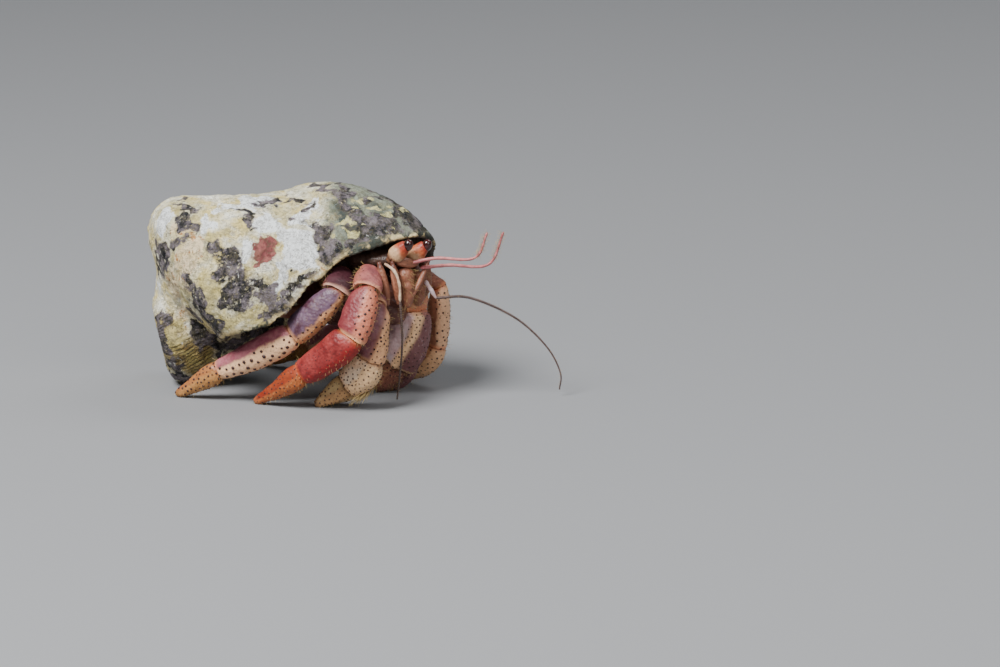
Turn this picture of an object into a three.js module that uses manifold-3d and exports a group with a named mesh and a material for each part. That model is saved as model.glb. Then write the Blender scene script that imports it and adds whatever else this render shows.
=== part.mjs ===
// Land hermit crab walking in a worn top shell, life size.
// Millimetres. +X is the way the crab faces, +Y its left, +Z up; it stands on z = 0.
import * as THREE from 'three';
import { mergeVertices } from 'three/addons/utils/BufferGeometryUtils.js';
import Module from 'manifold-3d';

const wasm = await Module();
wasm.setup();

// ---------------------------------------------------------------- driving dimensions
const GAP = 0.3; // between two pieces that meet
const LIMB_SIDES = 10;
const FINE_SIDES = 8;

// The shell is a tube that grows as it coils about its own axis. Angles are in radians, sizes at the lip.
const TUBE_RADIUS = 18;
const TUBE_ASPECT = 1.35; // along the axis against across it
const TUBE_LEAN = -0.055; // the section's long axis against the coiling axis
const COIL_RADIUS = 8.4; // tube's middle to the axis
const SPIRE_DROP = 28.1; // tube's middle to the apex, along the axis
const COIL_GROWTH = 1.34; // natural logs of the growth in one turn
const DROP_GROWTH = 1.63;
const TUBE_GROWTH = 1.07;
const SECTION_OVAL = [-0.07, 0.05]; // small departures of the tube's section from an ellipse
const SECTION_SQUARE = -0.1;
const TUBE_SWELL = [0.02, -0.06, -0.06, -0.07]; // uneven growth round the last turn
const COIL_SWELL = [0.03, 0.017];
const LIP_LEAD = [-0.05, 0.4, -0.09, -0.07]; // how far the slanted lip runs ahead, in radians
const LIP_ARCH = 0.08; // how far the lip is cut back over the eyes
const LIP_BULGE = 0.1; // how far it runs ahead above the right legs
const LIP_HEEL = 0.1; // how far it is cut back at its lower end
const SHELL_TURN = [102.2, -9.5, -54.65].map(THREE.MathUtils.degToRad); // about X, then Y, then Z
const SHELL_APEX = new THREE.Vector3(-23.9, -3.4, 11.5);
const SETTLE = 1.25; // the side that drags is worn down onto the floor by this much
const SETTLE_HEIGHT = 12;
const AXIS_PILLAR = 0.3; // least distance of the outside from the coiling axis
const COLUMELLA = 2.5; // the same for the cavity
const WALL = 1.4;
const WHORL_TURNS = 2.25;
const CAVITY_BACK = THREE.MathUtils.degToRad(225);
const EARLY_FROM = THREE.MathUtils.degToRad(290); // behind this the whorls are solid
const TURN = 2 * Math.PI;

// ---------------------------------------------------------------- materials
function finish(color, roughness) {
  return new THREE.MeshStandardMaterial({ color, roughness, metalness: 0 });
}
const wornShell = finish(0xc9c3ab, 0.8);
const purple = finish(0x8a5f74, 0.45);
const red = finish(0xb2382c, 0.45);
const cream = finish(0xd2b491, 0.5);
const lavender = finish(0xa99aa8, 0.45);
const tan = finish(0xb07a58, 0.5);
const soft = finish(0xa9604f, 0.6);
const eyeBlack = finish(0x16090a, 0.1);

// ---------------------------------------------------------------- mesh helpers
const crab = new THREE.Group();

function add(name, geometry, material) {
  const mesh = new THREE.Mesh(geometry, material);
  mesh.name = name;
  crab.add(mesh);
  return mesh;
}

function signedVolume(vertices, triangles) {
  const [a, b, c] = [new THREE.Vector3(), new THREE.Vector3(), new THREE.Vector3()];
  let volume = 0;
  for (let i = 0; i < triangles.length; i += 3) {
    a.fromArray(vertices, 3 * triangles[i]);
    b.fromArray(vertices, 3 * triangles[i + 1]);
    c.fromArray(vertices, 3 * triangles[i + 2]);
    volume += a.dot(b.cross(c)) / 6;
  }
  return volume;
}

// A closed skin over rings of points, with a fan over each end.
function loft(rings) {
  const sides = rings[0].length;
  const vertices = rings.flat().flatMap((p) => [p.x, p.y, p.z]);
  const triangles = [];
  for (let i = 0; i + 1 < rings.length; i += 1) {
    for (let j = 0; j < sides; j += 1) {
      const k = (j + 1) % sides;
      const [a, b] = [i * sides + j, i * sides + k];
      triangles.push(a, b, a + sides, b, b + sides, a + sides);
    }
  }
  for (const last of [false, true]) {
    const ring = last ? rings.at(-1) : rings[0];
    const first = last ? (rings.length - 1) * sides : 0;
    const middle = ring.reduce((sum, p) => sum.add(p), new THREE.Vector3()).divideScalar(sides);
    const hub = vertices.length / 3;
    vertices.push(middle.x, middle.y, middle.z);
    for (let j = 0; j < sides; j += 1) {
      const [a, b] = [first + j, first + ((j + 1) % sides)];
      triangles.push(...(last ? [a, b, hub] : [b, a, hub]));
    }
  }
  if (signedVolume(vertices, triangles) < 0) triangles.reverse();
  const geometry = new THREE.BufferGeometry();
  geometry.setAttribute('position', new THREE.Float32BufferAttribute(vertices, 3));
  geometry.setIndex(triangles);
  return geometry;
}

function toSolid(geometry) {
  const bare = geometry.clone();
  for (const extra of ['normal', 'uv']) bare.deleteAttribute(extra);
  const merged = mergeVertices(bare, 1e-5);
  return new wasm.Manifold(new wasm.Mesh({
    numProp: 3,
    vertProperties: Float32Array.from(merged.attributes.position.array),
    triVerts: Uint32Array.from(merged.index.array),
  }));
}

function toGeometry(solid) {
  const mesh = solid.getMesh();
  const geometry = new THREE.BufferGeometry();
  geometry.setAttribute('position', new THREE.Float32BufferAttribute(mesh.vertProperties, 3));
  geometry.setIndex(Array.from(mesh.triVerts));
  return geometry;
}

function joined(solids) {
  return solids.reduce((whole, next) => whole.add(next));
}

// ---------------------------------------------------------------- the shell
function bump(angle, centreDegrees, widthDegrees) {
  const centre = THREE.MathUtils.degToRad(centreDegrees);
  const away = THREE.MathUtils.euclideanModulo(angle - centre + Math.PI, TURN) - Math.PI;
  return Math.exp(-((away / THREE.MathUtils.degToRad(widthDegrees)) ** 2));
}

function lipLead(s) {
  const [a, b, c, d] = LIP_LEAD;
  const slant = a * Math.cos(s) + b * Math.sin(s) + c * Math.cos(2 * s) + d * Math.sin(2 * s);
  return slant - LIP_ARCH * bump(s, 316, 30);
}

function smooth(x) {
  const u = THREE.MathUtils.clamp(x, 0, 1);
  return u * u * (3 - 2 * u);
}

function swell(theta, [a, b, c = 0, d = 0]) {
  const once = a * Math.cos(theta) + b * Math.sin(theta);
  const twice = c * Math.cos(2 * theta) + d * Math.sin(2 * theta);
  return 1 + Math.exp(0.35 * theta) * (once + twice);
}

// The point of the tube's wall at angle back from the lip (0 or less) and angle s round the section.
function shellPoint(back, s, inset, nearAxis) {
  const edge = LIP_BULGE * bump(s, 28, 16) - LIP_HEEL * bump(s, 62, 24);
  const slant = lipLead(s) * Math.exp((0.4 * back) / TURN);
  const theta = back + slant + edge * Math.exp(Math.min(0, back) / 0.5);
  const turns = theta / TURN;
  const size = Math.exp(TUBE_GROWTH * turns) * swell(theta, TUBE_SWELL);
  const oval = SECTION_OVAL[0] * Math.cos(2 * s) + SECTION_OVAL[1] * Math.sin(2 * s);
  const scale = size * TUBE_RADIUS * (1 + oval + SECTION_SQUARE * Math.cos(4 * s)) - inset;
  const [across, along] = [scale * Math.cos(s), TUBE_ASPECT * scale * Math.sin(s)];
  const coil = Math.exp(COIL_GROWTH * turns) * COIL_RADIUS * swell(theta, COIL_SWELL);
  const out = coil + across * Math.cos(TUBE_LEAN) - along * Math.sin(TUBE_LEAN);
  const up = across * Math.sin(TUBE_LEAN) + along * Math.cos(TUBE_LEAN);
  const radius = Math.max(out, nearAxis * Math.max(size, 0.15));
  const height = up - Math.exp(DROP_GROWTH * turns) * SPIRE_DROP;
  const point = new THREE.Vector3(radius * Math.cos(theta), -radius * Math.sin(theta), height);
  point.applyEuler(new THREE.Euler(...SHELL_TURN, 'ZYX')).add(SHELL_APEX);
  const sunk = smooth((SETTLE_HEIGHT - point.z) / SETTLE_HEIGHT);
  point.z = Math.max(0, point.z - (SETTLE * sunk) / smooth((SETTLE_HEIGHT - SETTLE) / SETTLE_HEIGHT));
  return point;
}

function whorls(from, to, steps, sides, inset, nearAxis) {
  const rings = [];
  for (let i = 0; i <= steps; i += 1) {
    const back = from + ((to - from) * i) / steps;
    const ring = [];
    for (let j = 0; j < sides; j += 1) ring.push(shellPoint(back, (TURN * j) / sides, inset, nearAxis));
    rings.push(ring);
  }
  return toSolid(loft(rings));
}

// A long stretch of whorl, built as lengths of under half a turn that share their end rings.
function stretch(from, to, stepsPerTurn, sides, inset, nearAxis) {
  const count = Math.ceil(Math.abs(to - from) / (TURN / 4));
  const steps = Math.max(2, Math.round((stepsPerTurn * Math.abs(to - from)) / TURN / count));
  const lengths = [];
  for (let i = 0; i < count; i += 1) {
    const [a, b] = [i, i + 1].map((k) => from + ((to - from) * k) / count);
    lengths.push(whorls(a, b, steps, sides, inset, nearAxis));
  }
  return joined(lengths);
}

const lastWhorl = stretch(0, -EARLY_FROM - 0.1, 30, 26, 0, AXIS_PILLAR);
const earlyWhorls = stretch(-EARLY_FROM, -WHORL_TURNS * TURN, 24, 22, 0, AXIS_PILLAR);
const cavity = stretch(0.14, -CAVITY_BACK, 20, 20, WALL, COLUMELLA);
add('shell', toGeometry(lastWhorl.subtract(cavity).add(earlyWhorls)), wornShell);

// ---------------------------------------------------------------- limbs
function vec(p) {
  return new THREE.Vector3(...p);
}

// One ring of a limb: an ellipse across the limb, slid along it into the plane of the given normal.
function limbRing(centre, along, normal, thinWay, tall, thin, sides) {
  const tallWay = thinWay.clone().cross(along).normalize();
  const thinDir = along.clone().cross(tallWay).normalize();
  const ring = [];
  for (let j = 0; j < sides; j += 1) {
    const angle = (TURN * j) / sides;
    const offset = tallWay.clone().multiplyScalar(tall * Math.cos(angle));
    offset.addScaledVector(thinDir, thin * Math.sin(angle));
    offset.addScaledVector(along, -offset.dot(normal) / along.dot(normal));
    const point = centre.clone().add(offset);
    point.z = Math.max(point.z, 0);
    ring.push(point);
  }
  return ring;
}

// A jointed limb. Each piece has a name, its end point, an optional bow point, and its half sizes
// [place along it, tall half, thin half]; thinWay is the direction that the piece is thin in.
function limb(start, pieces, sides = LIMB_SIDES) {
  const points = [vec(start), ...pieces.map((piece) => vec(piece.to))];
  const curves = pieces.map((piece, i) => {
    const bow = piece.bow ? vec(piece.bow) : points[i].clone().lerp(points[i + 1], 0.5);
    return new THREE.QuadraticBezierCurve3(points[i], bow, points[i + 1]);
  });
  const planes = points.map((point, i) => {
    const before = i > 0 ? curves[i - 1].getTangent(1) : curves[0].getTangent(0);
    const after = i < curves.length ? curves[i].getTangent(0) : before;
    return before.clone().add(after).normalize();
  });
  pieces.forEach((piece, i) => {
    const thinWay = vec(piece.thinWay ?? [0, 1, 0]);
    const last = piece.sizes.length - 1;
    const rings = piece.sizes.map(([u, tall, thin], k) => {
      const along = curves[i].getTangent(u);
      const centre = curves[i].getPoint(u);
      let normal = along;
      if (k === 0) normal = planes[i];
      if (k === last) normal = planes[i + 1];
      if (k === 0 && i > 0) centre.addScaledVector(along, GAP / 2 / along.dot(normal));
      if (k === last && i < pieces.length - 1) centre.addScaledVector(along, -GAP / 2 / along.dot(normal));
      return limbRing(centre, along, normal, thinWay, tall, thin, sides);
    });
    let geometry = loft(rings);
    if (piece.with) geometry = toGeometry(toSolid(geometry).add(limbSolid(piece.with, 0)));
    if (piece.against) geometry = toGeometry(toSolid(geometry).subtract(limbSolid(piece.against, GAP)));
    add(piece.name, geometry, piece.material);
  });
}

// A fixed finger, which is one with its hand; grown, it clears the room the other finger must leave.
function limbSolid({ from, bow, to, thinWay = [0, 1, 0], sizes }, grown) {
  const curve = new THREE.QuadraticBezierCurve3(vec(from), vec(bow), vec(to));
  return toSolid(loft(sizes.map(([u, tall, thin]) => {
    const along = curve.getTangent(u);
    return limbRing(curve.getPoint(u), along, along, vec(thinWay), tall + grown, thin + grown, LIMB_SIDES);
  })));
}

const MERUS_THIN = [0, 0.55, 0.83]; // the first piece of a leg runs outwards and is flat above

// Walking legs, from the root at the body to the tip on the floor.
limb([9.6, 0.9, 23.2], [
  { name: 'leg3_right_merus', to: [12.3, -5.5, 20.8], material: purple, thinWay: MERUS_THIN,
    sizes: [[0, 1.9, 1.4], [0.35, 2.6, 1.7], [0.8, 2.9, 1.8], [1, 2.6, 1.6]] },
  { name: 'leg3_right_carpus', to: [5.5, -8.9, 13.3], material: purple,
    sizes: [[0, 1.9, 1.5], [0.2, 2.4, 1.8], [0.6, 2.7, 2], [0.9, 2.5, 1.8], [1, 2.1, 1.5]] },
  { name: 'leg3_right_propodus', to: [-8.7, -10.8, 5.7], bow: [-1, -10.4, 9.2], material: cream,
    sizes: [[0, 2.1, 1.5], [0.12, 2.6, 1.9], [0.45, 2.7, 1.9], [0.85, 2.1, 1.6], [1, 1.8, 1.4]] },
  { name: 'leg3_right_dactyl', to: [-17.4, -11.6, 0.5], bow: [-13, -11.4, 2.9], material: cream,
    sizes: [[0, 1.7, 1.3], [0.15, 2, 1.5], [0.5, 1.6, 1.2],
      [0.85, 1, 0.8], [0.94, 0.85, 0.7], [1, 0.6, 0.5]] },
]);
limb([15.2, 1.0, 24.0], [
  { name: 'leg2_right_merus', to: [18.5, -5.5, 22.0], material: purple, thinWay: MERUS_THIN,
    sizes: [[0, 1.8, 1.4], [0.35, 2.3, 1.7], [0.8, 2.6, 1.8], [1, 2.4, 1.6]] },
  { name: 'leg2_right_carpus', to: [17.5, -9.0, 14.1], material: purple,
    sizes: [[0, 2, 1.5], [0.2, 2.7, 1.9], [0.6, 3.2, 2.1], [0.9, 3, 1.9], [1, 2.5, 1.6]] },
  { name: 'leg2_right_propodus', to: [7.9, -9.9, 6.9], bow: [13.2, -10, 9.9], material: red,
    sizes: [[0, 2.4, 1.6], [0.12, 2.9, 2], [0.5, 2.9, 2], [0.88, 2.5, 1.8], [1, 2.1, 1.5]] },
  { name: 'leg2_right_dactyl', to: [-2.3, -9.4, 0.5], bow: [3.2, -9.8, 3.2], material: red,
    sizes: [[0, 1.9, 1.4], [0.15, 2.2, 1.6], [0.5, 1.7, 1.3],
      [0.85, 1, 0.8], [0.94, 0.85, 0.7], [1, 0.6, 0.5]] },
]);
limb([11.5, 11.8, 24.5], [
  { name: 'leg2_left_merus', to: [19.6, 17.6, 18.8], material: purple, thinWay: MERUS_THIN,
    sizes: [[0, 1.6, 1.3], [0.35, 1.9, 1.5], [0.8, 2.1, 1.6], [1, 1.9, 1.5]] },
  { name: 'leg2_left_carpus', to: [18.9, 17.9, 7.8], material: tan,
    sizes: [[0, 1.6, 1.4], [0.2, 1.9, 1.7], [0.6, 2.1, 1.8], [0.9, 1.9, 1.7], [1, 1.6, 1.5]] },
  { name: 'leg2_left_propodus', to: [9.4, 18.5, 2.0], bow: [17.0, 18.3, 2.7], material: tan,
    sizes: [[0, 1.6, 1.4], [0.15, 2, 1.7], [0.5, 2.1, 1.7], [0.85, 1.8, 1.5], [1, 1.6, 1.3]] },
  { name: 'leg2_left_dactyl', to: [-1.5, 18, 0.5], bow: [4.5, 18.5, 1.5], material: tan,
    sizes: [[0, 1.5, 1.2], [0.15, 1.6, 1.3], [0.5, 1.3, 1.1], [0.85, 0.9, 0.8], [1, 0.6, 0.5]] },
]);
limb([7.6, 11.2, 21.6], [
  { name: 'leg3_left_merus', to: [12.4, 16.6, 18.6], material: purple, thinWay: MERUS_THIN,
    sizes: [[0, 1.6, 1.3], [0.35, 2, 1.5], [0.75, 2.1, 1.6], [1, 1.8, 1.4]] },
  { name: 'leg3_left_carpus', to: [4.8, 19.2, 11.2], material: purple,
    sizes: [[0, 1.7, 1.3], [0.35, 2.2, 1.6], [0.6, 2.4, 1.8], [0.9, 2.2, 1.6], [1, 1.9, 1.4]] },
  { name: 'leg3_left_propodus', to: [-9, 19.5, 4.5], bow: [-2, 20.2, 7.8], material: tan,
    sizes: [[0, 1.9, 1.4], [0.12, 2.4, 1.7], [0.45, 2.4, 1.7], [0.85, 1.9, 1.5], [1, 1.6, 1.3]] },
  { name: 'leg3_left_dactyl', to: [-18.5, 18.2, 0.5], bow: [-13.8, 19, 2.2], material: tan,
    sizes: [[0, 1.5, 1.2], [0.15, 1.8, 1.4], [0.5, 1.4, 1.1], [0.85, 0.95, 0.75], [1, 0.6, 0.5]] },
]);

// The small right claw and the big left one. The fixed finger is one with the hand.
const RIGHT_FIXED_FINGER = { from: [16.4, -3.9, 4.8], bow: [12.6, -3.2, 1.9], to: [8.8, -3.6, 0.5],
  sizes: [[0, 1.9, 1.2], [0.4, 1.5, 1.05], [0.8, 0.9, 0.75], [0.92, 0.8, 0.65], [1, 0.6, 0.5]] };
const LEFT_FIXED_FINGER = { from: [17.0, 11.4, 6.0], bow: [16.0, 11.9, 2.4], to: [13.0, 12.0, 0.4],
  sizes: [[0, 1.9, 1.4], [0.4, 1.7, 1.2], [0.8, 1.1, 0.8], [0.92, 0.85, 0.7], [1, 0.6, 0.5]] };
limb([16.8, 1.4, 19.4], [
  { name: 'claw_right_merus', to: [18.4, -2.1, 18.6], material: lavender, thinWay: [0, 0.3, 1],
    sizes: [[0, 1.4, 1.4], [0.6, 1.7, 1.7], [1, 1.7, 1.7]] },
  { name: 'claw_right_carpus', to: [18.9, -4.6, 9.3], material: purple,
    sizes: [[0, 1.8, 1.6], [0.2, 2.4, 2], [0.6, 2.7, 2.1], [0.9, 2.6, 2], [1, 2.2, 1.7]] },
  { name: 'claw_right_hand', to: [14.1, -5.0, 4.6], bow: [17.3, -4.8, 6.6], material: cream,
    sizes: [[0, 2.2, 1.7], [0.2, 3, 2.1], [0.7, 3.2, 2.1], [1, 2.5, 1.8]], with: RIGHT_FIXED_FINGER },
  { name: 'claw_right_finger', to: [8.4, -6.2, 0.5], bow: [11.2, -5.9, 2.4], material: cream,
    sizes: [[0, 2.2, 1.3], [0.2, 2.1, 1.2], [0.55, 1.7, 1], [0.85, 1.05, 0.75], [1, 0.7, 0.5]],
    against: RIGHT_FIXED_FINGER },
]);
limb([14.8, 10.4, 21.6], [
  { name: 'claw_left_merus', to: [16.8, 11.2, 20.2], material: lavender, thinWay: [0, 1, 0],
    sizes: [[0, 1.6, 1.5], [0.6, 1.8, 1.7], [1, 1.8, 1.7]] },
  { name: 'claw_left_carpus', to: [17.7, 10.8, 15.4], material: lavender,
    sizes: [[0, 1.9, 1.8], [0.3, 2.5, 2.2], [0.75, 2.9, 2.5], [1, 2.4, 2.1]] },
  { name: 'claw_left_hand', to: [15.1, 10.6, 5.4], bow: [17.6, 10.5, 9.6], material: lavender,
    sizes: [[0, 2.5, 2.1], [0.15, 3.4, 2.7], [0.5, 4, 3], [0.85, 3.7, 2.7], [1, 3.2, 2.3]],
    with: LEFT_FIXED_FINGER },
  { name: 'claw_left_finger', to: [11.2, 9.4, 0.5], bow: [13.6, 9.6, 2.2], material: tan,
    sizes: [[0, 2.6, 1.7], [0.25, 2.3, 1.5], [0.6, 1.7, 1.15], [0.88, 1.05, 0.75], [1, 0.7, 0.5]],
    against: LEFT_FIXED_FINGER },
]);

// Third jaw-legs, which hang like two columns before the mouth.
limb([19.6, 4.9, 24.0], [
  { name: 'maxilliped_right', to: [20.9, 4.1, 17.6], bow: [20.8, 4.6, 21], material: soft,
    sizes: [[0, 0.9, 0.8], [0.3, 1.3, 1.1], [0.8, 1.1, 0.9], [1, 0.7, 0.6]] },
], FINE_SIDES);
limb([20.2, 8.2, 23.4], [
  { name: 'maxilliped_left', to: [21.2, 7.2, 17.4], bow: [21.3, 7.9, 20.6], material: soft,
    sizes: [[0, 0.9, 0.8], [0.3, 1.3, 1.1], [0.8, 1.1, 0.9], [1, 0.7, 0.6]] },
], FINE_SIDES);

// ---------------------------------------------------------------- eyes and feelers
function eye(side, root, front) {
  const direction = vec(front).sub(vec(root)).normalize();
  const stalkEnd = vec(front).addScaledVector(direction, -0.75);
  limb(root, [{ name: `eyestalk_${side}`, to: stalkEnd.toArray(), material: tan,
    sizes: [[0, 1.15, 0.9], [0.3, 1.25, 1], [0.75, 0.95, 0.85], [1, 0.85, 0.8]] }], FINE_SIDES);
  const ball = new THREE.SphereGeometry(0.95, 12, 8);
  ball.scale(0.95, 1, 0.8);
  ball.applyQuaternion(new THREE.Quaternion().setFromUnitVectors(new THREE.Vector3(0, 0, 1), direction));
  ball.translate(...stalkEnd.clone().addScaledVector(direction, 0.76 + GAP).toArray());
  for (const extra of ['normal', 'uv']) ball.deleteAttribute(extra);
  add(`eye_${side}`, mergeVertices(ball, 1e-4), eyeBlack);
}
eye('right', [18.6, 3.3, 26.3], [21.1, 3.9, 28.8]);
eye('left', [20.4, 6.7, 25.6], [22.6, 7.8, 28.3]);

// A feeler: a thin closed tube through a few points, thinner towards its tip.
function feeler(name, points, rootRadius, tipRadius, steps, material) {
  const curve = new THREE.CatmullRomCurve3(points.map(vec));
  const frames = curve.computeFrenetFrames(steps, false);
  const rings = [];
  for (let i = 0; i <= steps; i += 1) {
    const centre = curve.getPointAt(i / steps);
    const radius = THREE.MathUtils.lerp(rootRadius, tipRadius, i / steps);
    const ring = [];
    for (let j = 0; j < 6; j += 1) {
      const angle = (TURN * j) / 6;
      const point = centre.clone().addScaledVector(frames.normals[i], radius * Math.cos(angle));
      ring.push(point.addScaledVector(frames.binormals[i], radius * Math.sin(angle)));
    }
    rings.push(ring);
  }
  add(name, loft(rings), material);
}
feeler('antenna_base_right', [[17.9, 1.5, 25.4], [19.9, 1.5, 24.2], [21.0, 1.4, 21.8], [21.2, 1.2, 19.0]],
  0.75, 0.5, 6, cream);
feeler('antenna_whip_right', [[21.2, 1.2, 18.6], [21.4, 1.6, 12], [20.9, 1.6, 6], [20.4, 1.4, 1.2]],
  0.3, 0.25, 12, tan);
feeler('antenna_base_left', [[22.9, 8.2, 22.4], [23.3, 8.6, 20.3], [23.9, 9.1, 18.6]],
  0.7, 0.5, 5, lavender);
feeler('antenna_whip_left',
  [[24.3, 9.5, 18.3], [28.5, 13, 18.3], [34.9, 17.9, 14.5],
    [39.5, 21.1, 9.2], [41.5, 22.6, 4.4], [41.3, 22.7, 1.2]],
  0.3, 0.25, 18, tan);
feeler('antennule_right', [[21.0, 5.2, 25.2], [25.4, 6.8, 26.2], [31.5, 9.6, 26.4], [33.6, 10.4, 31]],
  0.38, 0.27, 10, soft);
feeler('antennule_left', [[22.2, 6.6, 24.2], [26.4, 9.4, 24.6], [32.0, 13.6, 24.6], [34.2, 15.1, 30.4]],
  0.38, 0.27, 10, soft);

// ---------------------------------------------------------------- trunk
limb([6.5, 5.6, 25.0], [
  { name: 'shield', to: [18.4, 5.2, 25.4], material: tan, thinWay: [0, 0, 1],
    sizes: [[0, 3, 1.5], [0.25, 3.6, 2], [0.6, 3.6, 1.9], [0.88, 2.6, 1.3], [1, 1.6, 0.8]] },
]);
limb([6.1, 5.9, 24.3], [
  { name: 'carapace_rear', to: [-4.5, 6.6, 24.4], material: soft, thinWay: [0, 0, 1],
    sizes: [[0, 3.1, 1.5], [0.4, 4.6, 2], [0.8, 4.4, 2], [1, 3.4, 1.6]] },
]);
limb([-2.0, 6.2, 18.2], [
  { name: 'thorax', to: [16.0, 5.8, 19.2], material: soft, thinWay: [0, 0, 1],
    sizes: [[0, 3, 2.4], [0.2, 4.4, 3.6], [0.55, 4.6, 3.8], [0.85, 3.6, 3], [1, 2.4, 1.9]] },
]);

// The soft abdomen curls round inside the last whorl.
limb([-5.5, 6.6, 22.2], [
  { name: 'abdomen', to: [-13.9, 11, 15.8], bow: [-14.2, 5.2, 24.4], material: soft,
    sizes: [[0, 2.8, 2.8], [0.25, 4, 4], [0.6, 3.9, 3.9], [0.85, 3, 3], [1, 2, 2]] },
]);

// The small hind legs stay inside and hold the shell.
feeler('leg4_right', [[3.6, 0.9, 16.6], [0, -2.8, 15.4], [-4.8, -3.2, 16.8], [-8, -1.2, 18.6]],
  1.1, 0.7, 10, soft);
feeler('leg4_left', [[4.2, 11.7, 19.4], [2, 12.3, 21.5], [-2, 12.1, 22.3], [-5.6, 10.6, 22.6]],
  1, 0.6, 10, soft);

// ---------------------------------------------------------------- place it on its origin
const box = new THREE.Box3().setFromObject(crab);
const middle = box.getCenter(new THREE.Vector3());
crab.position.set(-middle.x, -middle.y, -box.min.z);
crab.updateMatrixWorld(true);

export default crab;
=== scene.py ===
"""A land hermit crab walking in a worn top shell: the visual model round the CAD frame."""

import math

import bmesh
import bpy
import numpy as np
from mathutils import Euler, Matrix, Vector, noise
from mathutils.bvhtree import BVHTree
from mathutils.kdtree import KDTree


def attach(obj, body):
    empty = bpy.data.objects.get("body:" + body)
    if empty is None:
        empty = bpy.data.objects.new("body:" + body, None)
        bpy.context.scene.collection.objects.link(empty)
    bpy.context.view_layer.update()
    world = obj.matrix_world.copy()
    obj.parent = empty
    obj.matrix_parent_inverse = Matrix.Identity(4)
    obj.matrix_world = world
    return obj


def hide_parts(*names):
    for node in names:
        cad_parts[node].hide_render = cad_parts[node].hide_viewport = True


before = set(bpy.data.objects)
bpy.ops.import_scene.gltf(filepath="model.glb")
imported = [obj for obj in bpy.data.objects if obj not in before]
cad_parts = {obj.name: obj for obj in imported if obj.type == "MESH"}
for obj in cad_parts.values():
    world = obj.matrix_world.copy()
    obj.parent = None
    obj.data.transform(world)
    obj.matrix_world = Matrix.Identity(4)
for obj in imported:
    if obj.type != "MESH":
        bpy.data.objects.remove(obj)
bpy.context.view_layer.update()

# Lengths are in mm in the crab's own layout: +X the way it faces, +Z up, the floor at 0.
MM = 0.001
LAYOUT_ORIGIN = Vector((5.086, 4.404, 0.0))  # where the frame's origin lies in that layout
TURN = 2 * math.pi

# ------------------------------------------------------------------ numbers: the photograph's camera
PICTURE = (1000, 667)
LENS_MM, SENSOR_MM = 200.0, 36.0
FOCAL_PX = LENS_MM / SENSOR_MM * PICTURE[0]
ELEVATION, HEADING = math.radians(12), math.radians(30)
DISTANCE = 990.0
ORIGIN_PIXEL = (295, 395)  # where the layout's zero point shows on the floor
NEAR_SIDE = DISTANCE - 5  # about how far from the camera the near side of the model is

# ------------------------------------------------------------------ numbers: the shell
# The tube's section grows as it winds down from its apex to its lip. Sizes are those at the lip, a
# growth is the power of e that one turn adds, and angles are in radians.
TUBE_RADIUS, TUBE_ASPECT, TUBE_LEAN = 18.0, 1.35, -0.055
COIL_RADIUS, SPIRE_DROP = 8.4, 28.1
COIL_GROWTH, DROP_GROWTH, TUBE_GROWTH = 1.34, 1.63, 1.07
SECTION_OVAL, SECTION_SQUARE = (-0.07, 0.05), -0.1
TUBE_SWELL, COIL_SWELL = (0.02, -0.06, -0.06, -0.07), (0.03, 0.017, 0.0, 0.0)
LIP_LEAD = (-0.05, 0.4, -0.09, -0.07)
LIP_ARCH, LIP_ARCH_AT, LIP_ARCH_WIDTH = 0.045, math.radians(316), math.radians(30)
LIP_WAVES = ((0.009, 9, 1.0), (0.007, 17, 2.2), (0.005, 31, 0.7), (0.004, 47, 4.0))  # the worn edge
LIP_BULGE, LIP_BULGE_AT, LIP_BULGE_WIDTH = 0.1, math.radians(28), math.radians(16)
LIP_HEEL, LIP_HEEL_AT, LIP_HEEL_WIDTH = 0.1, math.radians(62), math.radians(24)
SHELL_TURN = np.array(Euler([math.radians(a) for a in (102.2, -9.5, -54.65)]).to_matrix())
SHELL_APEX = np.array([-23.9, -3.4, 11.5])
SETTLE, SETTLE_HEIGHT = 1.25, 12.0
AXIS_PILLAR, COLUMELLA = 0.3, 2.5
WALL, LIP_WALL = 1.4, 0.85
WHORL_TURNS, CAVITY_BACK, EARLY_FROM = 2.25, math.radians(225), math.radians(290)
SHELL_VOXEL, FILL_VOXEL, FILL_STEPS = 0.32, 1.1, 900
# Points along the tube and round it, for the skins that are joined and for reading off places.
LAST_WHORL, EARLY_WHORLS, ROOM = (200, 150), (260, 90), (140, 110)
OUTER_GRID, INNER_GRID = (620, 120), (150, 100)
FILL_RIGHT, FILL_DEPTH = -8.0, 12.0  # the crease is filled to the left of, and nearer than, these (mm)
OUTLINE_NUDGES = ((161, 208, 5.0, 1.9), (150, 262, 5.0, -0.7))  # pixels, reach and amount in mm

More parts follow.
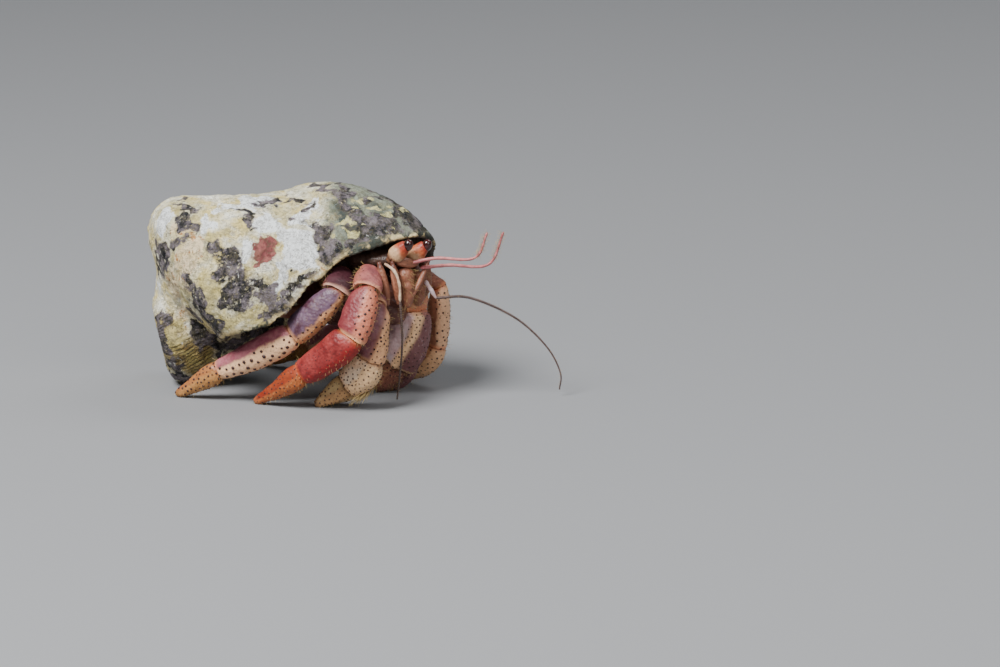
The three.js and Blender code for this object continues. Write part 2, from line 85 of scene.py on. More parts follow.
# Markings of the shell, placed by where they show in the photograph: centre in pixels, half length
# and half width in pixels, and the tilt of the length below the picture's horizontal in degrees. The
# dark ones along the shell's left outline and under the lip's lower end are painted shade.
MARK_TEARS = ((4.0, 2.2, 81), (1.5, 0.9, 91))  # the noise that tears them: size, reach and seed
MARKS = {
    "dark": (
        (188, 208, 11, 4, -8), (184, 222, 10, 7, 25), (245, 222, 11, 6, 75), (238, 210, 12, 3, -8),
        (173, 247, 8, 6, 10), (160, 264, 17, 5, 80), (227, 256, 15, 12, 40), (222, 272, 15, 8, 70),
        (241, 275, 16, 10, 55), (240, 297, 14, 10, 40), (193, 292, 12, 8, 60), (191, 311, 6, 5, 0),
        (266, 293, 14, 9, 35), (273, 313, 14, 8, -50), (298, 289, 19, 6, -55), (207, 342, 17, 11, 50),
        (197, 332, 12, 8, 80), (167, 342, 14, 5, 60), (161, 322, 10, 4, 85), (178, 366, 12, 5, 50),
        (228, 334, 10, 4, 0), (318, 234, 17, 9, 65), (331, 258, 15, 10, 20), (342, 200, 13, 7, 25),
        (317, 188, 9, 4, 30), (286, 189, 10, 3, -20), (366, 224, 17, 9, 5), (384, 232, 16, 7, -5),
        (352, 214, 10, 5, 10), (398, 202, 16, 5, 28), (413, 222, 14, 12, 30), (430, 246, 8, 18, 0),
        (352, 248, 10, 5, -30), (300, 209, 9, 3, 5), (373, 195, 12, 3, 12), (225, 300, 5, 8, 0),
        (182, 200, 8, 3, -10), (262, 303, 8, 6, 0), (213, 320, 9, 3, 30), (395, 216, 9, 5, 0),
        (326, 240, 22, 12, 62), (345, 196, 16, 9, 40), (378, 228, 24, 12, 10), (425, 234, 20, 9, 40),
        (358, 240, 12, 7, -15), (254, 290, 20, 8, 20), (284, 304, 16, 9, -50), (178, 376, 16, 7, 50),
        (163, 332, 18, 5, 80), (212, 350, 13, 7, 25), (330, 190, 20, 5, 12),
        (405, 206, 22, 5, 30), (290, 307, 22, 8, -50), (247, 222, 7, 9, 0), (202, 340, 17, 8, 65),
        (161, 256, 20, 6, 75), (266, 193, 12, 4, -10), (186, 232, 9, 5, 70),
        (203, 312, 16, 7, 48), (217, 331, 15, 6, 40), (192, 300, 10, 6, 70),
        # painted shade: this row darkens the underside of the lip's lower end and the fold beside it
        (258, 334, 34, 7, -24), (236, 343, 16, 7, -20), (207, 331, 18, 5, 44),
    ),
    "chalk": (
        (296, 245, 20, 17, 30), (268, 224, 18, 12, 0), (255, 201, 20, 6, 5), (306, 213, 14, 9, 60),
        (226, 206, 12, 7, 0), (288, 272, 9, 17, 30), (247, 250, 9, 14, 0), (204, 224, 8, 12, 0),
        (305, 262, 8, 12, 40), (165, 220, 9, 10, 0), (276, 287, 8, 5, 0), (160, 288, 4, 9, 0),
    ),
    "ochre": (
        (186, 262, 11, 26, 0), (173, 284, 9, 14, 0), (200, 250, 10, 16, 0), (181, 236, 9, 7, 0),
        (258, 221, 7, 10, 0), (178, 318, 9, 13, 0), (318, 268, 12, 4, -35), (346, 203, 5, 7, 0),
    ),
    "rose": ((266, 252, 14, 11, 75), (263, 263, 8, 5, 80)),
    "early": ((192, 356, 46, 30, 35), (166, 338, 40, 14, 70), (205, 372, 30, 16, 0)),
    "lime": (
        (387, 214, 7, 6, 40), (405, 209, 6, 2.5, 5), (367, 199, 9, 4, 10), (343, 218, 8, 6, 60),
        (356, 206, 5, 5, 0), (376, 207, 5, 4, 0), (396, 240, 9, 2, -5), (412, 236, 10, 2, 0),
        (407, 238, 24, 4.5, -3), (352, 231, 7, 5, 0), (340, 228, 4, 8, 50), (422, 236, 4, 2, 0),
    ),
    "yellow": (
        (234, 318, 30, 9, -6), (212, 290, 11, 26, 30), (260, 326, 20, 5, -12), (176, 338, 9, 20, 0),
        (217, 240, 9, 12, 20), (198, 361, 16, 5, 20), (245, 268, 8, 9, 0), (172, 212, 9, 6, 0),
    ),
}
# The same kinds of marks on the sides that the photograph doesn't show: name, size in mm, seed, and
# the height of noise at which they start.
SCATTERED_MARKS = (("dark", 5.5, 21, 0.2), ("chalk", 9.0, 22, 0.12), ("ochre", 7.0, 23, 0.3),
                   ("lime", 6.0, 24, 0.2))

# ------------------------------------------------------------------ numbers: the crab
# The crab's colours. Each look has its slot name, then the tones above its ridge (two that
# mingle), below it, at the rim of its socket, at the joint and at the tip.
LOOKS = {
    # painted shade: the merus look's tones are darkened to near black for the shade under the shell's lip,
    # where these meri sit.
    "merus": ("purple_cuticle", (52, 22, 28), (72, 36, 44), (86, 44, 38),
             (204, 156, 134), (124, 66, 46), (180, 120, 90)),
    "carpus": ("purple_cuticle", (66, 31, 46), (98, 74, 92), (200, 144, 100),
              (212, 148, 100), (124, 64, 36), (200, 160, 120)),
    "propodus": ("cream_cuticle", (140, 66, 80), (164, 98, 104), (238, 190, 146),
                (206, 138, 90), (158, 94, 56), (206, 170, 130)),
    "dactyl": ("cream_cuticle", (154, 94, 50), (162, 104, 55), (172, 120, 66),
              (192, 140, 82), (150, 76, 42), (132, 92, 52)),
    "pink_merus": ("purple_cuticle", (120, 58, 60), (158, 90, 84), (156, 88, 74),
                  (206, 140, 108), (108, 50, 38), (190, 130, 100)),
    "pink_carpus": ("purple_cuticle", (112, 38, 44), (144, 68, 66), (190, 110, 84),
                   (232, 172, 126), (120, 50, 32), (200, 140, 110)),
    "red_propodus": ("red_cuticle", (112, 26, 26), (150, 54, 50), (142, 28, 26),
                    (206, 84, 36), (196, 106, 58), (200, 90, 50)),
    "red_dactyl": ("red_cuticle", (134, 40, 16), (150, 64, 28), (170, 92, 44),
                  (184, 82, 38), (184, 86, 40), (168, 98, 58)),
    "far_merus": ("purple_cuticle", (112, 60, 48), (140, 84, 66), (130, 76, 58), (206, 130, 88),
                  (110, 58, 42), (150, 100, 76)),
    "small_carpus": ("purple_cuticle", (110, 60, 66), (138, 92, 98), (206, 154, 112),
                    (212, 158, 114), (146, 84, 56), (190, 150, 110)),
    "small_hand": ("cream_cuticle", (222, 186, 150), (232, 206, 176), (212, 172, 128),
                  (186, 134, 90), (150, 94, 60), (150, 112, 76)),
    "small_finger": ("cream_cuticle", (184, 144, 98), (192, 164, 114), (176, 132, 86),
                    (160, 110, 70), (96, 60, 38), (110, 78, 52)),
    "big_carpus": ("lavender_cuticle", (184, 116, 92), (200, 142, 116), (190, 120, 88),
                  (214, 120, 76), (150, 76, 52), (160, 110, 80)),
    "big_hand": ("lavender_cuticle", (206, 166, 166), (226, 198, 198), (118, 74, 74),
                (244, 198, 150), (168, 100, 70), (130, 84, 64)),
    "big_finger": ("tan_cuticle", (140, 88, 66), (164, 112, 84), (116, 70, 56),
                  (130, 84, 60), (110, 62, 46), (96, 66, 50)),
    "far_leg": ("tan_cuticle", (150, 92, 66), (176, 120, 88), (226, 176, 132),
               (216, 136, 92), (184, 92, 58), (190, 150, 116)),
    "far_carpus": ("tan_cuticle", (118, 72, 54), (146, 94, 70), (226, 176, 136),
                  (226, 142, 100), (190, 92, 58), (190, 150, 116)),
    "mouth": ("soft_skin", (128, 70, 50), (166, 108, 84), (132, 82, 60),
             (204, 144, 112), (84, 44, 32), (140, 92, 72)),
    "stalk": ("tan_cuticle", (168, 62, 28), (176, 92, 52), (194, 154, 116),
             (140, 40, 20), (96, 54, 36), (140, 42, 24)),
    "shield": ("tan_cuticle", (50, 32, 24), (72, 48, 36), (60, 38, 28),
              (96, 64, 46), (60, 34, 26), (70, 44, 34)),
    # painted shade: the trunk look is the soft skin made darker for the shade deep under the shell, where
    # the thorax and the claws' hips sit.
    "trunk": ("soft_skin", (96, 52, 42), (128, 78, 64), (90, 50, 42), (120, 74, 60), (90, 48, 38),
              (90, 50, 40)),
    "soft": ("soft_skin", (166, 98, 84), (190, 128, 110), (150, 86, 74), (170, 110, 92), (140, 80, 66),
             (150, 90, 76)),
    # painted light: in the feeler and pale_feeler looks the pale tones above the ridge also stand for a
    # highlight and the dark tone below it for the shade at the feeler's edge; the tones themselves are the
    # feelers' cream, lavender and brown.
    "feeler": ("cream_cuticle", (150, 116, 92), (204, 176, 148), (84, 54, 42),
              (190, 150, 128), (90, 54, 40), (120, 86, 72)),
    "pale_feeler": ("lavender_cuticle", (176, 142, 144), (214, 188, 192), (120, 84, 80), (206, 170, 160),
                    (110, 60, 48), (150, 110, 104)),
    "whip": ("tan_cuticle", (74, 58, 54), (96, 78, 72), (62, 46, 44), (80, 60, 56), (120, 86, 70),
             (88, 70, 64)),
    "antennule": ("soft_skin", (176, 96, 98), (196, 124, 122), (160, 84, 86), (180, 100, 100),
                  (150, 84, 76), (190, 120, 120)),
}
GRAIN_TONE = (56, 30, 28)

SIDE_WAY, MERUS_WAY = (0, 1, 0), (0, 0.55, 0.83)
# Each limb: its start, then its pieces in order. A piece has a name, its end, the point it bows
# towards, its thin way, its sizes (station, half height, half thickness), its look, the height across
# it at which the upper tone ends (or the rule for that), and its grains: how many, how far apart, how
# big and where.
LIMBS = {
    "leg3_right": ((9.6, 0.9, 23.2), (
        ("merus", (12.3, -5.5, 20.8), None, MERUS_WAY,
         ((0, 1.9, 1.4), (0.35, 2.6, 1.7), (0.8, 2.9, 1.8), (1, 2.6, 1.6)),
         "merus", -0.8, 14, 0.9, 0.15, "below"),
        ("carpus", (5.5, -8.9, 13.3), None, SIDE_WAY,
         ((0, 1.9, 1.5), (0.2, 2.4, 1.8), (0.6, 2.7, 2), (0.9, 2.5, 1.8), (1, 2.1, 1.5)),
         "carpus", -0.55, 60, 0.9, 0.25, "below"),
        ("propodus", (-8.7, -10.8, 5.7), (-1, -10.4, 9.2), SIDE_WAY,
         ((0, 2.1, 1.5), (0.12, 2.6, 1.9), (0.45, 2.7, 1.9), (0.85, 2.1, 1.6), (1, 1.8, 1.4)),
         "propodus", 0.1, 104, 1.0, 0.37, "below"),
        ("dactyl", (-17.4, -11.6, 0.5), (-13, -11.4, 2.9), SIDE_WAY,
         ((0, 1.7, 1.3), (0.15, 2, 1.5), (0.5, 1.6, 1.2), (0.85, 1, 0.8), (0.94, 0.85, 0.7), (1, 0.6, 0.5)),
         "dactyl", 0.2, 170, 0.68, 0.24, "everywhere"),
    )),
    "leg2_right": ((15.2, 1.0, 24.0), (
        ("merus", (18.5, -5.5, 22.0), None, MERUS_WAY,
         ((0, 1.8, 1.4), (0.35, 2.3, 1.7), (0.8, 2.6, 1.8), (1, 2.4, 1.6)),
         "pink_merus", -0.7, 14, 0.9, 0.14, "below"),
        ("carpus", (17.5, -9.0, 14.1), None, SIDE_WAY,
         ((0, 2, 1.5), (0.2, 2.7, 1.9), (0.6, 3.2, 2.1), (0.9, 3, 1.9), (1, 2.5, 1.6)),
         "pink_carpus", -0.35, 76, 0.85, 0.26, "below"),
        ("propodus", (7.9, -9.9, 6.9), (13.2, -10, 9.9), SIDE_WAY,
         ((0, 2.4, 1.6), (0.12, 2.9, 2), (0.5, 2.9, 2), (0.88, 2.5, 1.8), (1, 2.1, 1.5)),
         "red_propodus", -0.5, 260, 0.5, 0.1, "everywhere"),
        ("dactyl", (-2.3, -9.4, 0.5), (3.2, -9.8, 3.2), SIDE_WAY,
         ((0, 1.9, 1.4), (0.15, 2.2, 1.6), (0.5, 1.7, 1.3), (0.85, 1, 0.8), (0.94, 0.85, 0.7),
          (1, 0.6, 0.5)),
         "red_dactyl", -0.1, 180, 0.66, 0.19, "everywhere"),
    )),
    "leg2_left": ((11.5, 11.8, 24.5), (
        ("merus", (19.6, 17.6, 18.8), None, MERUS_WAY,
         ((0, 1.6, 1.3), (0.35, 1.9, 1.5), (0.75, 1.7, 1.4), (0.9, 1.5, 1.2), (1, 1.1, 1.0)),
         "far_merus", -0.5, 20, 0.6, 0.12, "below"),
        ("carpus", (18.9, 17.9, 7.8), None, SIDE_WAY,
         ((0, 1.1, 1.0), (0.1, 1.6, 1.4), (0.22, 1.9, 1.7), (0.6, 2.1, 1.8), (0.9, 1.9, 1.7),
          (1, 1.6, 1.5)),
         "far_carpus", -0.35, 120, 0.75, 0.21, "below"),
        ("propodus", (9.4, 18.5, 2.0), (17.0, 18.3, 2.7), SIDE_WAY,
         ((0, 1.6, 1.4), (0.15, 2, 1.7), (0.5, 2.1, 1.7), (0.85, 1.8, 1.5), (1, 1.6, 1.3)),
         "far_leg", 0, 110, 0.75, 0.19, "below"),
        ("dactyl", (-1.5, 18, 0.5), (4.5, 18.5, 1.5), SIDE_WAY,
         ((0, 1.5, 1.2), (0.15, 1.6, 1.3), (0.5, 1.3, 1.1), (0.85, 0.9, 0.8), (1, 0.6, 0.5)),
         "red_dactyl", 0, 90, 0.7, 0.14, "everywhere"),
    )),
    "leg3_left": ((7.6, 11.2, 21.6), (
        ("merus", (12.4, 16.6, 18.6), None, MERUS_WAY,
         ((0, 1.6, 1.3), (0.35, 2, 1.5), (0.75, 2.1, 1.6), (1, 1.8, 1.4)),
         "merus", -0.5, 20, 0.6, 0.12, "below"),
        ("carpus", (4.8, 19.2, 11.2), None, SIDE_WAY,
         ((0, 1.7, 1.3), (0.35, 2.2, 1.6), (0.6, 2.4, 1.8), (0.9, 2.2, 1.6), (1, 1.9, 1.4)),
         "carpus", -0.3, 70, 0.7, 0.16, "below"),
        ("propodus", (-9, 19.5, 4.5), (-2, 20.2, 7.8), SIDE_WAY,
         ((0, 1.9, 1.4), (0.12, 2.4, 1.7), (0.45, 2.4, 1.7), (0.85, 1.9, 1.5), (1, 1.6, 1.3)),
         "propodus", 0, 120, 0.9, 0.22, "below"),
        ("dactyl", (-18.5, 18.2, 0.5), (-13.8, 19, 2.2), SIDE_WAY,
         ((0, 1.5, 1.2), (0.15, 1.8, 1.4), (0.5, 1.4, 1.1), (0.85, 0.95, 0.75), (1, 0.6, 0.5)),
         "dactyl", 0, 110, 0.7, 0.15, "everywhere"),
    )),
    "claw_right": ((16.8, 1.4, 19.4), (
        ("merus", (18.4, -2.1, 18.6), None, (0, 0.3, 1),
         ((0, 1.4, 1.4), (0.6, 1.7, 1.7), (1, 1.7, 1.7)), "small_carpus", -0.4, 20, 0.5, 0.12, "below"),
        ("carpus", (18.9, -4.6, 9.3), None, SIDE_WAY,
         ((0, 1.8, 1.6), (0.2, 2.4, 2), (0.6, 2.7, 2.1), (0.9, 2.6, 2), (1, 2.2, 1.7)),
         "small_carpus", "small_carpus_ridge", 150, 0.66, 0.225, "below"),
        ("hand", (14.1, -5.0, 4.6), (17.3, -4.8, 6.6), SIDE_WAY,
         ((0, 2.2, 1.7), (0.2, 3, 2.1), (0.7, 3.2, 2.1), (1, 2.5, 1.8)),
         "small_hand", -0.1, 320, 0.6, 0.18, "everywhere"),
        ("finger", (8.4, -6.2, 0.5), (11.2, -5.9, 2.4), SIDE_WAY,
         ((0, 2.2, 1.3), (0.2, 2.1, 1.2), (0.55, 1.7, 1), (0.85, 1.05, 0.75), (1, 0.7, 0.5)),
         "small_finger", 0, 160, 0.62, 0.17, "everywhere"),
    )),
    "claw_left": ((14.8, 10.4, 21.6), (
        ("merus", (16.8, 11.2, 20.2), None, SIDE_WAY,
         ((0, 1.6, 1.5), (0.6, 1.8, 1.7), (1, 1.8, 1.7)), "big_carpus", 0, 20, 0.5, 0.12, "below"),
        ("carpus", (17.7, 10.8, 15.4), None, SIDE_WAY,
         ((0, 2.2, 2.1), (0.3, 3.0, 2.7), (0.75, 3.3, 3.0), (1, 2.7, 2.4)),
         "big_carpus", 0, 40, 0.8, 0.17, "below"),
        ("hand", (15.1, 10.6, 5.4), (17.6, 10.5, 9.6), SIDE_WAY,
         ((0, 3.5, 2.4), (0.15, 3.9, 2.8), (0.5, 4.1, 3), (0.85, 3.7, 2.7), (1, 3.2, 2.3)),
         "big_hand", "big_hand_ridge", 230, 0.58, 0.18, "along_ridge"),
        ("finger", (11.2, 9.4, 0.5), (13.6, 9.6, 2.2), SIDE_WAY,
         ((0, 2.6, 1.7), (0.25, 2.3, 1.5), (0.6, 1.7, 1.15), (0.88, 1.05, 0.75), (1, 0.7, 0.5)),
         "big_finger", 0, 120, 0.65, 0.17, "everywhere"),
    )),
}
# Each claw's fixed finger: its start, the point it bows towards, its end and its sizes.
FIXED_FINGERS = {
    "claw_right": ((16.4, -3.9, 4.8), (12.6, -3.2, 1.9), (8.8, -3.6, 0.5),
                   ((0, 1.9, 1.2), (0.4, 1.5, 1.05), (0.8, 0.9, 0.75), (0.92, 0.8, 0.65), (1, 0.6, 0.5))),
    "claw_left": ((17.0, 11.4, 6.0), (16.0, 11.9, 2.4), (13.0, 12.0, 0.4),
                  ((0, 1.9, 1.4), (0.4, 1.7, 1.2), (0.8, 1.1, 0.8), (0.92, 0.85, 0.7), (1, 0.6, 0.5))),
}
HAND_VOXEL = 0.2
# The big hand's ridge and the edge on the small claw's wrist, as lines of the picture.
BIG_HAND_RIDGE = ((412, 306), (419, 318), (413, 336), (403, 352), (393, 368), (388, 382))
SMALL_CARPUS_RIDGE = ((392, 296), (388, 318), (381, 340), (366, 372))
# The tuft between the small claw's fingers: where it stands, how far it reaches and its baking cell.
TUFT_PLACE, TUFT_REACH, TUFT_CELL = np.array((16.9, -3.3, 4.4)), 1.35, (0.86, 0.02, 0.12, 0.3)

# A hard piece of a limb is a tube of ROWS rings with SIDES points each. It starts with a neck behind
# its joint (mm), at these parts of its width, and ends in a rounded tip or in a socket with a rim.
ROWS, SIDES = 40, 44
NECK, NECK_SCALE = np.array([-0.9, -0.8, -0.45, -0.1]), [0.45, 0.62, 0.72, 0.78]
TIP_PUSH, TIP_SCALE = np.array([0.16, 0.34, 0.46, 0.5]), [0.86, 0.62, 0.34, 0.1]
SOCKET_PUSH, SOCKET_SCALE = [0.08, 0.06, -0.25, -0.6], [1.0, 0.9, 0.72, 0.5]

# Each kind of bristle: how many, how far apart, how long and thick, and how they lie over.
BRISTLES = {
    "below": (70, 0.5, 0.75, 0.028, (0, 0, -0.2)),
    "rim": (26, 0.3, 1.1, 0.03, (0, 0, -0.4)),
    "tuft": (420, 0.2, 2.1, 0.055, (-1.3, -0.5, -0.9)),
    "whip": (160, 0.2, 0.5, 0.02, (0, 0, 0)),
    "antennule": (150, 0.12, 0.9, 0.022, (-0.4, 0, 0.3)),
    "jaw": (110, 0.25, 1.3, 0.028, (0.5, 0, -0.7)),
}
# Reaches of a bristle's corners from its root on the baking square, ring by ring.
BAKE_PATCH = (0.0015, 0.001, 0.0005)
FEELER_SEED, JAW_SEED, SHIELD_SEED, TUFT_SEED = 700, 800, 900, 990

# Each eye's stalk: its root and its front, with its sizes. Then the eye's axis, its half length,
# breadth and depth, and how far its middle is from the stalk's front.
EYES = {"right": ((18.6, 3.3, 26.3), (21.1, 3.9, 28.8)), "left": ((20.4, 6.7, 25.6), (22.6, 7.8, 28.3))}
STALK_SIZES = ((0, 1.35, 1.15), (0.3, 1.55, 1.3), (0.75, 1.3, 1.1), (1, 1.0, 0.85))
EYE_AXIS, EYE_RADII, EYE_SHIFT = (0.35, 0.05, 1.0), (1.12, 0.88, 0.88), np.array((0.2, -0.05, -0.22))
# Each feeler: its line, its first and last radius, the length of its rings, how much each swells and
# its look.
FEELERS = (
    ("antenna_base_right", ((17.9, 1.5, 25.4), (19.9, 1.5, 24.2), (21.0, 1.4, 21.8), (21.2, 1.2, 18.8)),
     0.3, 0.24, 2.4, 0.14, "feeler"),
    ("antenna_whip_right", ((21.2, 1.2, 19.0), (21.4, 1.6, 12), (20.9, 1.6, 6), (20.4, 1.4, 1.2)),
     0.24, 0.14, 0.42, 0.12, "whip"),
    ("antenna_base_left", ((22.3, 7.9, 21.6), (23.1, 8.5, 20.1), (23.9, 9.1, 18.4)),
     0.46, 0.3, 2.2, 0.14, "pale_feeler"),
    ("antenna_whip_left", ((23.9, 9.2, 18.5), (28.5, 13, 18.3), (34.9, 17.9, 14.5), (39.5, 21.1, 9.2),
                           (41.5, 22.6, 4.4), (41.3, 22.7, 1.2)), 0.26, 0.13, 0.42, 0.12, "whip"),
    ("antennule_right", ((21.0, 5.2, 25.2), (25.4, 6.8, 26.2), (31.5, 9.6, 26.4), (33.6, 10.4, 31)),
     0.34, 0.2, 1.8, 0.08, "antennule"),
    ("antennule_left", ((22.2, 6.6, 24.2), (26.4, 9.4, 24.6), (32.0, 13.6, 24.6), (34.2, 15.1, 30.4)),
     0.34, 0.2, 1.8, 0.08, "antennule"),
)
# Each jaw leg: its start, the point it bows towards and its end.
JAW_LEGS = {
    "right": ((19.6, 4.9, 24.0), (20.8, 4.6, 21), (20.9, 4.1, 17.6)),
    "left": ((20.2, 8.2, 23.4), (21.3, 7.9, 20.6), (21.2, 7.2, 17.4)),
}
JAW_LEG_SIZES = ((0, 1.4, 1.2), (0.14, 1.7, 1.5), (0.32, 1.6, 1.4), (0.38, 1.45, 1.3), (0.5, 1.55, 1.35),
                 (0.66, 1.25, 1.1), (0.78, 1.25, 1.05), (1, 0.7, 0.6))
# The smaller plates about the mouth: the side, the same three points and the half width.
MOUTH_PLATES = (
    ("right", (17.7, 0.2, 25.0), (18.9, -0.1, 21.5), (19.2, 0.3, 18.4), 0.85),
    ("right", (19.1, 2.3, 24.9), (20.0, 2.2, 21.5), (20.2, 2.4, 18.2), 0.8),
    ("right", (19.2, 3.0, 26.0), (20.6, 4.6, 25.0), (21.6, 6.6, 25.0), 0.9),
    ("left", (22.8, 8.1, 24.8), (22.4, 6.2, 21.8), (21.6, 4.2, 18.9), 0.5),
    ("left", (21.0, 9.6, 24.4), (21.6, 9.9, 21.0), (20.6, 9.6, 18.0), 1.25),
)

# The trunk's parts: name, start, end, the point it bows towards, sizes as for a limb, and look.
TRUNK = (
    ("shield", (6.5, 5.6, 25.0), (18.4, 5.2, 25.4), None,
     ((0, 3, 1.5), (0.25, 3.6, 2), (0.6, 3.6, 1.9), (0.88, 2.6, 1.3), (1, 1.6, 0.8)), "shield"),
    ("carapace_rear", (6.1, 5.9, 24.3), (-4.5, 6.6, 24.4), None,
     ((0, 3.1, 1.5), (0.4, 4.6, 2), (0.8, 4.4, 2), (1, 3.4, 1.6)), "soft"),
    ("thorax", (-2.0, 6.2, 17.4), (16.0, 5.8, 18.2), None,
     ((0, 3, 3.2), (0.2, 4.4, 4.9), (0.55, 4.6, 5.2), (0.85, 3.6, 4.2), (1, 2.4, 2.6)), "trunk"),
    ("abdomen", (-5.5, 6.6, 22.2), (-13.9, 11, 15.8), (-14.2, 5.2, 24.4),
     ((0, 2.8, 2.8), (0.25, 4, 4), (0.6, 3.9, 3.9), (0.85, 3, 3), (1, 2, 2)), "soft"),
)
# The small hind legs: name, line, first and last radius.
HIND_LEGS = (
    ("leg4_right", ((3.6, 0.9, 16.6), (0, -2.8, 15.4), (-4.8, -3.2, 16.8), (-8, -1.2, 18.6)), 1.1, 0.7),
    ("leg4_left", ((4.2, 11.7, 19.4), (2, 12.3, 21.5), (-2, 12.1, 22.3), (-5.6, 10.6, 22.6)), 1.0, 0.6),
)
# The claws' hips, which belong to the thorax: the middle and the half sizes of each.
CLAW_HIPS = (((15.6, 5.6, 16.4), (4.0, 2.6, 2.8)), ((17.1, 11.1, 19.0), (2.4, 2.1, 2.7)))
HIP_AXIS = (1.0, 0.2, -0.5)
SHIELD_GRAINS = (500, 0.4, 0.13)  # how many, how far apart and how big

# ------------------------------------------------------------------ numbers: floor and light
FLOOR_TONE, FLOOR_REACH = (134, 135, 137), 4
# Each light: its name, azimuth, elevation, distance and size in metres, and watts.
LIGHTS = (
    ("key", 260, 52, 0.9, 0.4, 17.5),
    ("fill", 332, 34, 1.0, 0.7, 3.1),
    ("back", 70, 55, 1.0, 0.6, 3.0),
)
SKY_TONE, SKY_STRENGTH = (0.86, 0.92, 1.0, 1), 0.17


# ------------------------------------------------------------------ the photograph's camera
# The picture's right, its depth and its top, in the layout.
RIGHT = Vector((math.cos(HEADING), math.sin(HEADING), 0))
FORWARD = Vector((-math.sin(HEADING) * math.cos(ELEVATION), math.cos(HEADING) * math.cos(ELEVATION),
                  -math.sin(ELEVATION)))
UP = RIGHT.cross(FORWARD)
TO_RIGHT, TO_BACK, TO_TOP = np.array(RIGHT), np.array(FORWARD), np.array(UP)


def pixel_ray(px, py):
    """The way from the camera through a pixel of the photograph."""
    across = (px - PICTURE[0] / 2) / FOCAL_PX
    rise = (PICTURE[1] / 2 - py) / FOCAL_PX
    return FORWARD + RIGHT * across + UP * rise


CAMERA = -pixel_ray(*ORIGIN_PIXEL) * DISTANCE


def picture(points):
    """Where points of the layout show, in the photograph's pixels."""
    offset = points - np.array(CAMERA)
    scale = FOCAL_PX / (offset @ TO_BACK)
    return PICTURE[0] / 2 + scale * (offset @ TO_RIGHT), PICTURE[1] / 2 - scale * (offset @ TO_TOP)


def to_frame(point):
    return (Vector(point) - LAYOUT_ORIGIN) * MM


def make_camera():
    data = bpy.data.cameras.new("camera")
    data.lens, data.sensor_width = LENS_MM, SENSOR_MM
    data.clip_start, data.clip_end = 0.05, 20
    camera = bpy.data.objects.new("camera", data)
    camera.location = to_frame(CAMERA)
    camera.rotation_euler = Euler((math.pi / 2 - ELEVATION, 0, HEADING))
    bpy.context.collection.objects.link(camera)
    bpy.context.scene.camera = camera


# ------------------------------------------------------------------ small helpers
def smooth(x):
    """0 up to 0, 1 from 1, and an easy slope between."""
    u = np.clip(x, 0, 1)
    return u * u * (3 - 2 * u)


def unit(v):
    return v / np.maximum(np.linalg.norm(v, axis=-1, keepdims=True), 1e-12)


def noise_at(points, scale, seed, octaves=3):
    """Smooth noise from about -1 to 1 at points in mm; scale is the size of its lumps."""
    shift = Vector((seed * 17.3, seed * 5.1, seed * 9.7))
    return np.array([noise.fractal(Vector(p) / scale + shift, 0.9, 2.1, octaves) for p in points])


def grid_faces(rows, sides, first=0):
    """Faces of a tube of rows of points, closed round its sides."""
    i, j = np.meshgrid(np.arange(rows - 1), np.arange(sides), indexing="ij")
    a, b = i * sides + j, i * sides + (j + 1) % sides
    return (np.stack([a, b, b + sides, a + sides], -1).reshape(-1, 4) + first).tolist()


def round_sides(count):
    """The angle, the cosine and the sine of each point round a ring."""
    angle = np.arange(count) * TURN / count
    return angle, np.cos(angle), np.sin(angle)


def by_row(values, sides):
    """One value for each ring of a tube, at all the points of it."""
    return np.outer(values, np.ones(sides))


def by_side(values, rows):
    """One value for each line along a tube, in all its rings."""
    return np.outer(np.ones(rows), values)


def new_object(name, points, faces):
    mesh = bpy.data.meshes.new(name)
    mesh.from_pydata([tuple(map(float, p)) for p in points], [], faces)
    mesh.update()
    obj = bpy.data.objects.new(name, mesh)
    bpy.context.collection.objects.link(obj)
    return obj


def outward(obj):
    """Turns every face of a closed mesh outwards."""
    bm = bmesh.new()
    bm.from_mesh(obj.data)
    bmesh.ops.recalc_face_normals(bm, faces=bm.faces)
    bm.to_mesh(obj.data)
    bm.free()
    return obj


def apply_modifiers(obj):
    evaluated = obj.evaluated_get(bpy.context.evaluated_depsgraph_get())
    mesh = bpy.data.meshes.new_from_object(evaluated)
    obj.modifiers.clear()
    old = obj.data
    obj.data = mesh
    bpy.data.meshes.remove(old)
    return obj


def remesh(obj, voxel):
    modifier = obj.modifiers.new("remesh", "REMESH")
    modifier.mode, modifier.voxel_size = "VOXEL", voxel
    return apply_modifiers(obj)


def cut(obj, tool):
    """Takes the tool's room out of the object."""
    modifier = obj.modifiers.new("cut", "BOOLEAN")
    modifier.operation, modifier.solver, modifier.object = "DIFFERENCE", "MANIFOLD", tool
    apply_modifiers(obj)
    bpy.data.objects.remove(tool)
    return obj


def merged(name, objects):
    bm = bmesh.new()
    for obj in objects:
        bm.from_mesh(obj.data)
        bpy.data.objects.remove(obj)
    mesh = bpy.data.meshes.new(name)
    bm.to_mesh(mesh)
    bm.free()
    obj = bpy.data.objects.new(name, mesh)
    bpy.context.collection.objects.link(obj)
    return obj


def vertices(obj):
    points = np.empty(len(obj.data.vertices) * 3)
    obj.data.vertices.foreach_get("co", points)
    return points.reshape(-1, 3)


def normals(obj):
    values = np.empty(len(obj.data.vertices) * 3, np.float32)
    obj.data.vertex_normals.foreach_get("vector", values)
    return values.reshape(-1, 3).astype(float)


def set_vertices(obj, points):
    obj.data.vertices.foreach_set("co", np.ascontiguousarray(points, float).ravel())
    obj.data.update()


def set_field(obj, name, values):
    """Stores one number per vertex, which the material reads by name."""
    layer = obj.data.attributes.new(name, "FLOAT", "POINT")
    layer.data.foreach_set("value", np.asarray(values, np.float32))


